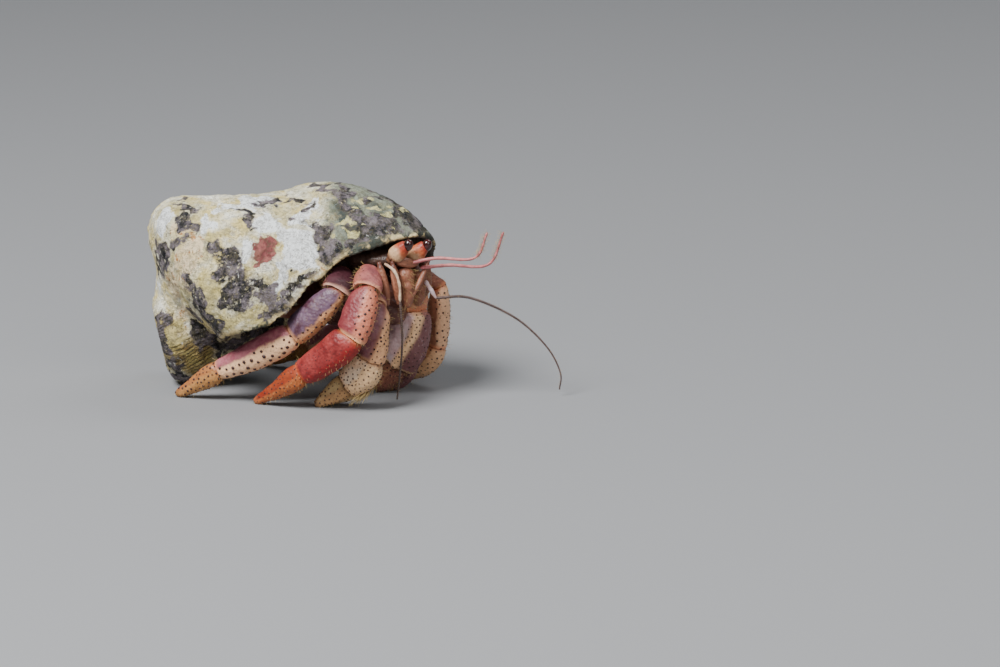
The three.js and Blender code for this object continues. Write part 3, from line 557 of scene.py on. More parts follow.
def finish_piece(obj, nodes, material):
    """Takes a piece made in layout mm to the frame, and says what it rides on and stands for."""
    obj.data.transform(Matrix.Diagonal((MM, MM, MM, 1)) @ Matrix.Translation(-LAYOUT_ORIGIN))
    obj.data.update()
    obj.data.shade_smooth()
    obj.data.materials.clear()
    obj.data.materials.append(material)
    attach(obj, "root")
    if nodes:
        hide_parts(*nodes)
    return obj


# ------------------------------------------------------------------ material building
class Paint:
    """Builds one node material. Sizes of lumps and heights of bumps are in mm."""

    def __init__(self, name):
        self.material = bpy.data.materials.new(name)
        self.material.use_nodes = True
        self.tree = self.material.node_tree
        self.tree.nodes.clear()
        self.place = self.node("ShaderNodeTexCoord").outputs["Object"]
        self.normal = self.color = None

    def node(self, kind, **settings):
        made = self.tree.nodes.new(kind)
        for key, value in settings.items():
            setattr(made, key, value)
        return made

    def put(self, socket, value):
        if isinstance(value, bpy.types.NodeSocket):
            self.tree.links.new(value, socket)
        elif isinstance(value, tuple):
            socket.default_value = (*value, 1)
        else:
            socket.default_value = value

    def field(self, name):
        return self.node("ShaderNodeAttribute", attribute_name=name).outputs["Fac"]

    def noise(self, size, detail=3, rough=0.55, seed=0, warp=0.0):
        made = self.node("ShaderNodeTexNoise", noise_dimensions="4D")
        self.put(made.inputs["Vector"], self.place)
        for key, value in (("W", seed * 3.7), ("Scale", 1000 / size), ("Detail", detail),
                           ("Roughness", rough), ("Distortion", warp)):
            made.inputs[key].default_value = value
        return made.outputs["Fac"]

    def cells(self, size, feature="F1"):
        made = self.node("ShaderNodeTexVoronoi", feature=feature)
        self.put(made.inputs["Vector"], self.place)
        made.inputs["Scale"].default_value = 1000 / size
        return made.outputs["Distance"]

    def math(self, operation, a, b=0.0):
        made = self.node("ShaderNodeMath", operation=operation)
        for socket, value in zip(made.inputs, (a, b)):
            self.put(socket, value)
        return made.outputs[0]

    def add(self, a, b):
        return self.math("ADD", a, b)

    def times(self, a, b):
        return self.math("MULTIPLY", a, b)

    def unless(self, value):
        return self.math("SUBTRACT", 1.0, value)

    def step(self, value, low, high):
        """0 below low and 1 above high, or the other way round if low is the greater."""
        made = self.node("ShaderNodeMapRange", interpolation_type="SMOOTHSTEP")
        for key, number in (("Value", value), ("From Min", min(low, high)), ("From Max", max(low, high)),
                            ("To Min", float(low > high)), ("To Max", float(low < high))):
            self.put(made.inputs[key], number)
        return made.outputs["Result"]

    def mix(self, factor, a, b, blend="MIX"):
        made = self.node("ShaderNodeMix", data_type="RGBA", blend_type=blend)
        self.put(made.inputs["Factor"], factor)
        self.put(made.inputs[6], a)
        self.put(made.inputs[7], b)
        return made.outputs[2]

    def between(self, value, low, high, first, second):
        """The first tone where the value is below low, the second where it is above high."""
        return self.mix(self.step(value, low, high), srgb(*first), srgb(*second))

    def lay(self, where, tone, share=None, blend="MIX"):
        """Lays a tone or a made colour over the colour so far."""
        if share is not None:
            where = self.times(where, share)
        self.color = self.mix(where, self.color, srgb(*tone) if isinstance(tone, tuple) else tone, blend)

    def bump(self, height, depth, strength=1.0):
        made = self.node("ShaderNodeBump")
        made.inputs["Distance"].default_value = depth * MM
        made.inputs["Strength"].default_value = strength
        self.put(made.inputs["Height"], height)
        if self.normal is not None:
            self.put(made.inputs["Normal"], self.normal)
        self.normal = made.outputs["Normal"]

    def finish(self, roughness, specular=0.5, coat=0.0):
        shader = self.node("ShaderNodeBsdfPrincipled")
        self.put(shader.inputs["Base Color"], self.color)
        self.put(shader.inputs["Roughness"], roughness)
        shader.inputs["Specular IOR Level"].default_value = specular
        shader.inputs["Coat Weight"].default_value = coat
        shader.inputs["Coat Roughness"].default_value = 0.12
        if self.normal is not None:
            self.put(shader.inputs["Normal"], self.normal)
        out = self.node("ShaderNodeOutputMaterial")
        self.put(out.inputs["Surface"], shader.outputs[0])
        return self.material


def srgb(r, g, b):
    """A colour as it looks, 0 to 255, as the linear numbers that a shader takes."""
    return tuple(((c / 255 + 0.055) / 1.055) ** 2.4 if c > 10 else c / 3294.6 for c in (r, g, b))


# ------------------------------------------------------------------ the shell's shape
def swell(theta, factors):
    """How the tube or its coil departs from even growth, most of all near the lip."""
    a, b, c, d = factors
    wave = a * np.cos(theta) + b * np.sin(theta) + c * np.cos(2 * theta) + d * np.sin(2 * theta)
    return 1 + np.exp(0.35 * theta) * wave


def lobe(s, at, width):
    """1 at one place round the section and nearly 0 well away from it."""
    away = (s - at + math.pi) % TURN - math.pi
    return np.exp(-((away / width) ** 2))


def lip_lead(s):
    """How far the whole tube's section is slanted, and its lip with it."""
    a, b, c, d = LIP_LEAD
    slant = a * np.cos(s) + b * np.sin(s) + c * np.cos(2 * s) + d * np.sin(2 * s)
    worn = sum(size * np.sin(count * s + phase) for size, count, phase in LIP_WAVES)
    return slant - LIP_ARCH * lobe(s, LIP_ARCH_AT, LIP_ARCH_WIDTH) + worn


def lip_edge(s):
    """What runs ahead or is cut back at the lip alone."""
    return (LIP_BULGE * lobe(s, LIP_BULGE_AT, LIP_BULGE_WIDTH)
            - LIP_HEEL * lobe(s, LIP_HEEL_AT, LIP_HEEL_WIDTH))


def shell_points(back, s, inset, pillar):
    """Points of the tube's wall; back (0 or less) is the angle behind the lip, s goes round the
    section."""
    theta = back + lip_lead(s) * np.exp(0.4 * back / TURN)
    theta = theta + lip_edge(s) * np.exp(np.minimum(back, 0) / 0.5)
    turns = theta / TURN
    size = np.exp(TUBE_GROWTH * turns) * swell(theta, TUBE_SWELL)
    oval = SECTION_OVAL[0] * np.cos(2 * s) + SECTION_OVAL[1] * np.sin(2 * s)
    scale = size * TUBE_RADIUS * (1 + oval + SECTION_SQUARE * np.cos(4 * s)) - inset
    across, along = scale * np.cos(s), TUBE_ASPECT * scale * np.sin(s)
    out = np.exp(COIL_GROWTH * turns) * COIL_RADIUS * swell(theta, COIL_SWELL)
    out = out + across * math.cos(TUBE_LEAN) - along * math.sin(TUBE_LEAN)
    radius = np.maximum(out, pillar * np.maximum(size, 0.15))
    height = across * math.sin(TUBE_LEAN) + along * math.cos(TUBE_LEAN)
    height = height - np.exp(DROP_GROWTH * turns) * SPIRE_DROP
    points = np.stack([radius * np.cos(theta), -radius * np.sin(theta), height], -1)
    points = points @ SHELL_TURN.T + SHELL_APEX
    sunk = SETTLE * smooth((SETTLE_HEIGHT - points[..., 2]) / SETTLE_HEIGHT)
    sunk = sunk / smooth((SETTLE_HEIGHT - SETTLE) / SETTLE_HEIGHT)
    points[..., 2] = np.maximum(points[..., 2] - sunk, 0)
    return points


def shell_grid(start, end, steps, sides, inset, pillar):
    """Even points over a stretch of the tube, with the angle back and round of each."""
    back, s = np.meshgrid(np.linspace(start, end, steps), np.arange(sides) * TURN / sides, indexing="ij")
    return back, s, shell_points(back, s, inset(back), pillar)


def whorls(start, end, steps, sides, inset, pillar):
    points = shell_grid(start, end, steps, sides, inset, pillar)[2].reshape(-1, 3)
    ends = [list(range(sides)), list(range(len(points) - sides, len(points)))]
    return outward(new_object("whorls", points, grid_faces(steps, sides) + ends))


def no_inset(back):
    return np.zeros_like(back)


def wall_inset(back):
    return LIP_WALL + (WALL - LIP_WALL) * smooth(-back / 0.5)


def crease_filler(body):
    """A coarse skin stretched over the body's crease beside the lip's lower end."""
    coarse = remesh(body, FILL_VOXEL)
    edges = np.array([e.vertices[:] for e in coarse.data.edges])
    ends, others = np.r_[edges[:, 0], edges[:, 1]], np.r_[edges[:, 1], edges[:, 0]]
    points = vertices(coarse)
    neighbours = np.bincount(ends, minlength=len(points))
    allowed = smooth((FILL_RIGHT - points @ TO_RIGHT) / 3)
    allowed = allowed * smooth((FILL_DEPTH - points @ TO_BACK) / 4)
    for step in range(FILL_STEPS):
        if step % 20 == 0:
            set_vertices(coarse, points)
            outs = normals(coarse)
        middle = np.stack([np.bincount(ends, points[others, k], len(points)) for k in range(3)], 1)
        rise = np.einsum("ij,ij->i", middle / neighbours[:, None] - points, outs)
        points = points + (allowed * np.maximum(rise, 0))[:, None] * outs
    points[:, 2] = np.maximum(points[:, 2], 0)
    set_vertices(coarse, points - 0.04 * outs)
    return coarse


def nudged(obj):
    """The outline pushed out or in a little at the places in OUTLINE_NUDGES."""
    points, directions = vertices(obj), normals(obj)
    shift = np.zeros(len(points))
    for px, py, reach, amount in OUTLINE_NUDGES:
        place = CAMERA + pixel_ray(px, py).normalized() * NEAR_SIDE
        offset = points - np.array(place)
        x, y = offset @ TO_RIGHT, offset @ TO_TOP
        shift += amount * np.exp(-(x * x + y * y) / reach**2)
    points = points + directions * shift[:, None]
    points[:, 2] = np.maximum(points[:, 2], 0)
    set_vertices(obj, points)
    return obj


def shell_form():
    """The whole worn shell as one skin, with the room inside its mouth."""
    last = whorls(0, -EARLY_FROM - 0.1, *LAST_WHORL, no_inset, AXIS_PILLAR)
    early = whorls(-EARLY_FROM, -WHORL_TURNS * TURN, *EARLY_WHORLS, no_inset, AXIS_PILLAR)
    body = remesh(merged("shell_body", [last, early]), SHELL_VOXEL)
    copy = new_object("shell_copy", vertices(body), [list(p.vertices) for p in body.data.polygons])
    body = nudged(remesh(merged("shell_body", [body, crease_filler(copy)]), SHELL_VOXEL))
    room = remesh(whorls(0.14, -CAVITY_BACK, *ROOM, wall_inset, COLUMELLA), SHELL_VOXEL)
    return remesh(cut(body, room), SHELL_VOXEL)


def nearest_values(points, known, *fields):
    """For each point, the fields of the nearest known point, and how far off that is."""
    tree = KDTree(len(known))
    for i, p in enumerate(known):
        tree.insert(p, i)
    tree.balance()
    found = [tree.find(p) for p in points]
    index = np.array([f[1] for f in found])
    return [field[index] for field in fields], np.array([f[2] for f in found])


def ragged(points):
    """The points shifted about by noise, so that marks placed on them have torn outlines."""
    shift = np.zeros_like(points)
    for size, reach, seed in MARK_TEARS:
        for axis in range(3):
            shift[:, axis] += reach * noise_at(points, size, seed + axis, 2)
    return points + shift


def marks_field(points, marks, skin):
    """1 at the middle of a mark, 0 at its edge and less outside it."""
    field = np.full(len(points), -1.0)
    for px, py, half_long, half_wide, tilt in marks:
        ray = pixel_ray(px, py).normalized()
        hit = skin.ray_cast(CAMERA, ray)[0]
        if hit is None:
            hit = skin.find_nearest(CAMERA + ray * NEAR_SIDE)[0]
        per_px = (hit - CAMERA).dot(FORWARD) / FOCAL_PX
        offset = points - np.array(hit)
        x, y = offset @ TO_RIGHT / per_px, -(offset @ TO_TOP) / per_px
        c, s = math.cos(math.radians(tilt)), math.sin(math.radians(tilt))
        u, v = (x * c + y * s) / half_long, (y * c - x * s) / half_wide
        w = offset @ TO_BACK / per_px / (1.3 * max(half_long, half_wide) + 6)
        field = np.maximum(field, 1 - np.sqrt(u * u + v * v + w * w))
    return field


def scattered_field(points, directions, size, seed, threshold):
    """The same kind of field for the sides that the photograph doesn't show, from noise."""
    lumps = noise_at(points, size, seed, 2) - threshold
    away = smooth((directions @ TO_BACK - 0.05) / 0.35)
    return lumps * 1.6 * away - (1 - away)


# ------------------------------------------------------------------ the shell's surface
def shell_relief(points, growth, around, outside, ochre):
    """How far each point of the outside stands out, in mm: lumps, growth lines, spiral cords and pits."""
    lumps = 0.34 * noise_at(points, 8.0, 1, 2) + 0.16 * noise_at(points, 2.6, 2, 3)
    grain = 0.07 * noise_at(points, 0.9, 3, 2)
    phase = 3.0 * noise_at(points, 11.0, 4, 2)
    lines = 0.05 * np.sin(growth * 62 + phase) * (0.4 + 0.6 * smooth(-growth / 3))
    cords = 0.09 * np.cos(13 * around + phase * 0.3) * smooth(1 + growth / 3)
    cell = np.array([noise.voronoi(Vector(p) / 1.15)[0][0] for p in points])
    pits = -0.42 * smooth((0.38 - cell) / 0.38) * smooth((ochre + 0.35) / 0.5)
    chips = -0.25 * smooth((noise_at(points, 3.4, 5, 3) - 0.32) / 0.12)
    return (lumps + grain + lines + cords + pits + chips) * outside


def shell_paint():
    """The worn shell: each layer is one more kind of wear, mark or dirt over those before it; some are
    painted shade: the dark marks along the left outline and under the lip, and the dark inside of the
    mouth.
    """
    paint = Paint("worn_shell")
    dark, chalk, ochre, rose, lime, yellow, weather, early, inside, growth, streak, rim = [
        paint.field(name) for name in ("dark", "chalk", "ochre", "rose", "lime", "yellow", "weather",
                                       "early", "inside", "growth", "streak", "rim")]
    blotch = paint.noise(4.5, 5, 0.62, seed=1, warp=0.3)
    fray = paint.noise(1.3, 6, 0.68, seed=2)
    dust = paint.noise(0.42, 3, 0.7, seed=3)
    frayed = paint.add(paint.times(fray, 1.5), paint.times(dust, 0.8))  # about 1.15 in the middle

    def patch(field, edge, softness):
        return paint.step(paint.add(field, paint.times(frayed, 0.85)), edge - softness, edge + softness)

    paint.color = paint.between(blotch, 0.38, 0.62, (240, 220, 146), (253, 251, 236))
    paint.lay(paint.step(streak, 0.05, 0.3), (214, 208, 172), 0.5)
    paint.lay(patch(weather, 1.35, 0.3), paint.between(streak, -0.2, 0.25, (62, 72, 70), (146, 154, 138)))
    paint.lay(patch(early, 1.6, 0.45), paint.between(blotch, 0.4, 0.6, (122, 98, 54), (214, 188, 118)))
    paint.lay(patch(ochre, 1.05, 0.35), (248, 226, 184))
    spots = paint.step(paint.noise(1.1, 4, 0.6, seed=6), 0.55, 0.64)
    paint.lay(paint.times(patch(ochre, 1.0, 0.2), spots), (196, 136, 74))
    paint.lay(patch(yellow, 1.05, 0.35), (203, 186, 114), 0.8)
    stain = paint.step(paint.noise(2.6, 6, 0.7, seed=12, warp=0.5), 0.5, 0.6)
    paint.lay(stain, (212, 204, 156), 0.45, "MULTIPLY")
    paint.lay(paint.step(fray, 0.56, 0.36), (180, 174, 158), 0.4, "MULTIPLY")
    paint.lay(patch(chalk, 0.96, 0.14), (250, 253, 253))

    # The dark marks and a dim ring round them: the shell's own dark patches, and painted shade where they
    # lie along the left outline and under the lip.
    dark_here = patch(dark, 0.93, 0.12)
    chipped = paint.step(paint.noise(0.8, 5, 0.7, seed=5), 0.57, 0.64)
    dark_patch_and_shade_tone = paint.between(paint.noise(1.9, 6, 0.7, seed=4), 0.42, 0.62, (6, 11, 20), (126, 116, 122))
    paint.lay(paint.times(dark_here, paint.unless(paint.times(chipped, 0.7))), dark_patch_and_shade_tone)
    paint.lay(patch(lime, 1.12, 0.14), paint.between(fray, 0.35, 0.6, (194, 183, 106), (220, 214, 158)))
    halo = paint.times(patch(dark, 0.83, 0.14), paint.unless(dark_here))
    paint.lay(halo, (112, 104, 82), 0.4)
    paint.lay(patch(rose, 1.02, 0.14), paint.between(fray, 0.4, 0.6, (112, 50, 52), (160, 92, 86)))

    wave = paint.math("SINE", paint.add(paint.times(growth, 85.0), paint.times(blotch, 14.0)))
    lines = paint.times(paint.step(wave, 0.25, 0.9), patch(early, 1.7, 0.4))
    paint.lay(lines, (28, 22, 16), 0.8)
    speckled = paint.step(paint.noise(3.0, 2, 0.5, seed=8), 0.46, 0.58)
    paint.lay(paint.times(paint.step(paint.cells(0.75), 0.22, 0.1), speckled), (70, 62, 48), 0.75)
    veins = paint.math("ABSOLUTE", paint.add(paint.noise(2.2, 6, 0.72, seed=10, warp=0.8), -0.5))
    paint.lay(paint.step(veins, 0.03, 0.008), (92, 84, 62), 0.55)
    scratches = paint.step(paint.noise(2.4, 6, 0.75, seed=9, warp=1.6), 0.61, 0.66)
    paint.lay(scratches, (240, 240, 232), 0.65)
    grime = paint.step(dust, 0.66, 0.34)
    paint.lay(grime, (96, 88, 64), 0.12)

    edge = paint.between(blotch, 0.46, 0.54, (64, 68, 58), (204, 184, 132))
    paint.lay(paint.times(rim, paint.step(fray, 0.36, 0.5)), edge)
    paint.lay(paint.times(rim, paint.step(lime, -0.2, 0.2)), (232, 214, 160))
    # Painted shade: the inside of the mouth is laid in dark browns for the shade within it, not for the
    # lining's own colour.
    paint.lay(inside, paint.between(blotch, 0.4, 0.6, (74, 62, 50), (112, 98, 80)))
    for height, depth, strength in ((blotch, 0.7, 0.7), (fray, 1.3, 1.0), (dust, 0.25, 0.9)):
        paint.bump(height, depth, strength)
    return paint.finish(paint.add(0.6, paint.times(fray, 0.25)), specular=0.35)


def shell_fields(points, directions, growth, around, skin):
    """The marks of the shell, seen and scattered, by name."""
    torn = ragged(points)
    fields = {name: marks_field(torn, marks, skin) for name, marks in MARKS.items()}
    for name, size, seed, threshold in SCATTERED_MARKS:
        fields[name] = np.maximum(fields[name], scattered_field(points, directions, size, seed, threshold))
    fields["streak"] = noise_at(np.stack([growth * 1.6, around * 5, growth * 0], 1), 1.0, 31, 3)
    return fields


def make_shell():
    shell = shell_form()
    points, directions = vertices(shell), normals(shell)
    back_out, s_out, outer = shell_grid(0, -WHORL_TURNS * TURN, *OUTER_GRID, no_inset, AXIS_PILLAR)
    _, _, inner = shell_grid(0.05, -CAVITY_BACK, *INNER_GRID, wall_inset, COLUMELLA)
    outer, inner = outer.reshape(-1, 3), inner.reshape(-1, 3)
    (growth, around), off_outer = nearest_values(points, outer, back_out.ravel(), s_out.ravel())
    _, off_inner = nearest_values(points, inner)
    outside = smooth((off_inner - off_outer + 0.35) / 0.7)

    faces = [list(p.vertices) for p in shell.data.polygons]
    skin = BVHTree.FromPolygons([Vector(p) for p in points], faces)
    fields = shell_fields(points, directions, growth, around, skin)
    relief = shell_relief(points, growth, around, outside, fields["ochre"])
    points = points + directions * relief[:, None]
    points[:, 2] = np.maximum(points[:, 2], 0)
    set_vertices(shell, points)

    fields["weather"] = smooth((points @ TO_RIGHT + 2) / 14) * 1.6 - 0.6
    low = smooth((-growth - 4.4) / 1.6) * smooth((14 - points[:, 2]) / 8) * 1.9 - 0.8
    fields["early"] = np.maximum(low, fields["early"] * 1.4)
    fields["rim"] = smooth((growth + 0.06) / 0.04) * outside
    fields["inside"] = 1 - outside
    fields["growth"] = growth
    for name, values in fields.items():
        set_field(shell, name, values)
    return finish_piece(shell, ["shell"], shell_paint())


# ------------------------------------------------------------------ forms for the crab itself
class Form:
    """A skin of triangles in layout mm, with one number per point for each named field."""

    def __init__(self, points, triangles, fields):
        self.points = np.asarray(points, float)
        self.triangles = np.asarray(triangles, int)
        self.fields = fields

    def normals(self):
        a, b, c = (self.points[self.triangles[:, k]] for k in range(3))
        face = np.cross(b - a, c - a)
        total = np.zeros_like(self.points)
        for k in range(3):
            np.add.at(total, self.triangles[:, k], face)
        return unit(total)

    def moved(self, relief):
        return Form(self.points + self.normals() * relief[:, None], self.triangles, self.fields)

    def object(self, name):
        obj = new_object(name, self.points, self.triangles.tolist())
        for field, values in self.fields.items():
            set_field(obj, field, values)
        return obj


def joined(forms):
    """Several forms as one; a field that a form lacks is 0 there."""
    names = {name for form in forms for name in form.fields}
    starts = np.cumsum([0] + [len(form.points) for form in forms])
    fields = {name: np.concatenate([form.fields.get(name, np.zeros(len(form.points))) for form in forms])
              for name in names}
    triangles = np.concatenate([form.triangles + start for form, start in zip(forms, starts)])
    return Form(np.concatenate([form.points for form in forms]), triangles, fields)


def tube_triangles(rows, sides):
    quads = np.array(grid_faces(rows, sides))
    return np.concatenate([quads[:, [0, 1, 2]], quads[:, [0, 2, 3]]])


def closed_tube(rings, fields):
    """A form over rings of points, each end closed by a fan; fields are given per ring point."""
    rows, sides = rings.shape[:2]
    points = np.concatenate([rings.reshape(-1, 3), rings[:1].mean(1), rings[-1:].mean(1)])
    j, k = np.arange(sides), (np.arange(sides) + 1) % sides
    low, high = np.full(sides, rows * sides), np.full(sides, rows * sides + 1)
    last = (rows - 1) * sides
    triangles = np.concatenate([tube_triangles(rows, sides), np.stack([k, j, low], 1),
                                np.stack([last + j, last + k, high], 1)])
    full = {}
    for name, values in fields.items():
        full[name] = np.concatenate([values.ravel(), [values[0].mean()], [values[-1].mean()]])
    form = Form(points, triangles, full)
    a, b, c = (points[triangles[:, i]] for i in range(3))
    if np.einsum("ij,ij->i", a, np.cross(b, c)).sum() < 0:
        form.triangles = triangles[:, ::-1]
    return form


def profile(stations, values, u):
    """A smooth curve through the values at the stations."""
    stations, values = np.array(stations), np.array(values)
    slopes = np.gradient(values, stations)
    i = np.clip(np.searchsorted(stations, u, side="right") - 1, 0, len(stations) - 2)
    span = stations[i + 1] - stations[i]
    t = np.clip((u - stations[i]) / span, 0, 1)
    a, b = values[i], values[i + 1]
    return ((2 * t**3 - 3 * t**2 + 1) * a + (t**3 - 2 * t**2 + t) * span * slopes[i]
            + (-2 * t**3 + 3 * t**2) * b + (t**3 - t**2) * span * slopes[i + 1])


class Bend:
    """A bent centreline from one point to another."""

    def __init__(self, start, end, bow=None):
        self.start, self.end = np.array(start, float), np.array(end, float)
        self.bow = (self.start + self.end) / 2 if bow is None else np.array(bow, float)

    def at(self, u):
        u = np.asarray(u, float)[..., None]
        return self.start * (1 - u) ** 2 + self.bow * 2 * u * (1 - u) + self.end * u**2

    def along(self, u):
        u = np.asarray(u, float)[..., None]
        return unit((self.bow - self.start) * (1 - u) + (self.end - self.bow) * u)

    def length(self):
        points = self.at(np.linspace(0, 1, 12))
        return np.linalg.norm(np.diff(points, axis=0), axis=1).sum()


def segment_form(bend, first_plane, last_plane, thin_way, sizes, tip, squareness=2.5):
    """One hard piece of a limb: a neck that tucks into the piece before it, a swollen body, and
    either a rounded tip or a rim round the socket that takes the next piece."""
    stations, tall, thin = zip(*sizes)
    length = bend.length()
    body = np.linspace(0, 1, ROWS - 8) ** 0.92
    end_scale, end_push = (TIP_SCALE, TIP_PUSH * thin[-1]) if tip else (SOCKET_SCALE, SOCKET_PUSH)
    u = np.concatenate([NECK / length, body, np.ones(4)])
    inside = np.clip(u, 0, 1)
    scale = np.concatenate([NECK_SCALE, np.ones(len(body)), end_scale])
    if not tip:
        scale = scale * (1 + 0.05 * np.exp(-(((u - 0.95) / 0.035) ** 2)))
    near = np.concatenate([np.zeros(4), smooth(body * length / 0.9), np.ones(4)])
    scale = scale * (0.84 + 0.16 * near)
    push = np.concatenate([NECK, np.zeros(len(body)), end_push])
    tall, thin = profile(stations, tall, inside) * scale, profile(stations, thin, inside) * scale
    centre, along = bend.at(inside), bend.along(inside)
    centre = centre + along * push[:, None]
    weight_first = smooth(1 - inside / 0.16)[:, None]
    weight_last = smooth(1 - (1 - inside) / 0.16)[:, None] * (0 if tip else 1)
    plane = unit(along * (1 - weight_first - weight_last).clip(0) + first_plane * weight_first
                 + last_plane * weight_last)
    tall_way = unit(np.cross(np.array(thin_way, float), along))
    thin_dir = np.cross(along, tall_way)
    angle, cos, sin = round_sides(SIDES)
    round_off = 0.5 + 0.5 * (np.abs(cos) ** squareness + np.abs(sin) ** squareness) ** (-1 / squareness)
    offset = (tall_way[:, None] * (tall[:, None] * (cos * round_off))[..., None]
              + thin_dir[:, None] * (thin[:, None] * (sin * round_off))[..., None])
    slide = -np.einsum("rsk,rk->rs", offset, plane) / np.einsum("rk,rk->r", along, plane)[:, None]
    rings = centre[:, None] + offset + along[:, None] * slide[..., None]
    rings[..., 2] = np.maximum(rings[..., 2], 0.0)
    to_end, rows = (1 - inside) * length, len(u)
    fields = {
        "along": by_row(inside, SIDES), "joint": by_row(smooth(1 - inside * length / 0.8), SIDES),
        "up": by_side(cos, rows), "side": by_side(sin, rows), "turn": by_side(angle / TURN, rows),
        "rim": by_row(0 * inside if tip else smooth(1 - to_end / 0.7), SIDES),
        "tip": by_row(smooth(1 - to_end / 1.6) if tip else 0 * inside, SIDES),
    }
    return closed_tube(rings, fields)


def rounded(start, bow, end, sizes, thin_way=SIDE_WAY):
    """A piece that stands alone, with its end rounded off."""
    bend = Bend(start, end, bow)
    return segment_form(bend, bend.along(0.0), bend.along(1.0), thin_way, sizes, True)


# ------------------------------------------------------------------ grains and hairs
def scatter(form, count, spacing, weight, seed):
    """Seeded places on a form, no two nearer than the spacing: position, normal and nearest point."""
    rng = np.random.default_rng(seed)
    tri = form.triangles
    a, b, c = (form.points[tri[:, k]] for k in range(3))
    area = np.linalg.norm(np.cross(b - a, c - a), axis=1)
    chance = area * weight(form.fields)[tri].mean(1).clip(0)
    if chance.sum() <= 0:
        return np.zeros((0, 3)), np.zeros((0, 3)), np.zeros(0, int)
    pick = rng.choice(len(tri), size=count * 3, p=chance / chance.sum())
    mix = rng.random((len(pick), 2))
    mix = np.where(mix.sum(1, keepdims=True) > 1, 1 - mix, mix)
    places = a[pick] + (b - a)[pick] * mix[:, :1] + (c - a)[pick] * mix[:, 1:]
    taken, kept = {}, []
    for i, p in enumerate(places):
        cell = tuple(np.floor(p / spacing).astype(int))
        around = [(cell[0] + i0, cell[1] + i1, cell[2] + i2)
                  for i0 in (-1, 0, 1) for i1 in (-1, 0, 1) for i2 in (-1, 0, 1)]
        if all(np.linalg.norm(places[k] - p) >= spacing for key in around for k in taken.get(key, ())):
            taken.setdefault(cell, []).append(i)
            kept.append(i)
            if len(kept) == count:
                break
    kept = np.array(kept, int)
    return places[kept], form.normals()[tri[pick[kept], 0]], tri[pick[kept], 0]


def frames_on(normals_here, rng):
    """For each normal, three directions with the normal last, turned at random about it."""
    any_way = unit(rng.normal(size=normals_here.shape))
    first = unit(np.cross(any_way, normals_here))
    return np.stack([first, np.cross(normals_here, first), normals_here], 1)


def spike_triangles(sides, rings):
    """Triangles of a spike: rings of points one above another, then a single last point."""
    j, k = np.arange(sides), (np.arange(sides) + 1) % sides
    bands = []
    for low in range(0, sides * (rings - 1), sides):
        high = low + sides
        bands += [np.stack([j + low, k + low, k + high], 1), np.stack([j + low, k + high, j + high], 1)]
    top = sides * (rings - 1)
    return np.concatenate(bands + [np.stack([j + top, k + top, np.full(sides, sides * rings)], 1)])


def planted(form, nearest, points, triangles):
    """Copies of one small shape, given by all their points, with the form's fields at their roots."""
    count, each = points.shape[:2]
    triangles = (triangles[None] + each * np.arange(count)[:, None, None]).reshape(-1, 3)
    fields = {name: np.repeat(values[nearest], each) for name, values in form.fields.items()}
    return Form(points.reshape(-1, 3), triangles, fields)


def grains(form, count, spacing, radius, weight, seed):
    """Low domes standing on the form, like the horny grains of the cuticle."""
    places, ways, nearest = scatter(form, count, spacing, weight, seed)
    rng = np.random.default_rng(seed + 1)
    circle = np.stack(round_sides(6)[1:], 1)
    template = np.concatenate([np.c_[circle, np.full(6, -0.3)], np.c_[circle * 0.72, np.full(6, 0.34)],
                               [[0, 0, 0.52]]])
    sizes = radius * rng.uniform(0.65, 1.25, len(places))
    points = np.einsum("vk,nkd->nvd", template, frames_on(ways, rng)) * sizes[:, None, None]
    points = points + places[:, None]
    points[..., 2] = np.maximum(points[..., 2], 0.0)
    domes = planted(form, nearest, points, spike_triangles(6, 2))
    domes.fields["grain"] = np.tile(np.r_[np.full(6, 0.6), np.ones(7)], len(places))
    return domes


def hairs(form, count, spacing, length, width, lean, weight, seed, cell):
    """Fine tapered bristles standing on the form. lean is how they lie over, in layout axes; cell is
    the part of the baking square that holds this skin's unwrap (left, bottom, wide, high)."""
    places, ways, nearest = scatter(form, count, spacing, weight, seed)
    rng = np.random.default_rng(seed + 1)
    ways = unit(ways + np.array(lean) + 0.25 * rng.normal(size=ways.shape))
    frames = frames_on(ways, rng)
    circle = np.stack(round_sides(3)[1:], 1)
    rings = ((1.0, -0.15), (0.75, 0.45), (0.45, 0.8))  # width and height of each ring
    template = np.concatenate([np.c_[circle * width * wide, np.full(3, high)] for wide, high in rings]
                              + [[[0.0, 0.0, 1.0]]])
    sizes = length * rng.uniform(0.55, 1.2, len(places))
    bend = template[:, 2].clip(0) ** 2 * 0.25
    points = template[None] * np.stack([np.ones_like(sizes), np.ones_like(sizes), sizes], 1)[:, None]
    points[..., 0] += bend[None] * sizes[:, None] * rng.uniform(-1, 1, len(sizes))[:, None]
    points = np.einsum("nvk,nkd->nvd", points, frames) + places[:, None]
    points[..., 2] = np.maximum(points[..., 2], 0.02)
    coat = planted(form, nearest, points, np.concatenate([spike_triangles(3, 3), [[2, 1, 0]]]))
    root = np.stack([cell[0] + cell[2] * form.fields["turn"][nearest],
                     cell[1] + cell[3] * form.fields["along"][nearest]], 1)
    patch = np.concatenate([circle * reach for reach in BAKE_PATCH] + [[[0.0, 0.0]]])
    uv = (root[:, None] + patch[None]).reshape(-1, 2)
    coat.fields["length"] = np.tile(template[:, 2].clip(0), len(places))
    coat.fields["bake_u"], coat.fields["bake_v"] = uv[:, 0], uv[:, 1]
    return coat


def hair_object(form, name):
    obj = form.object(name)
    layer = obj.data.uv_layers.new(name="OFBake")
    corner = np.empty(len(obj.data.loops), np.int32)
    obj.data.loops.foreach_get("vertex_index", corner)
    uv = np.stack([form.fields["bake_u"][corner], form.fields["bake_v"][corner]], 1)
    layer.data.foreach_set("uv", uv.ravel())
    return obj


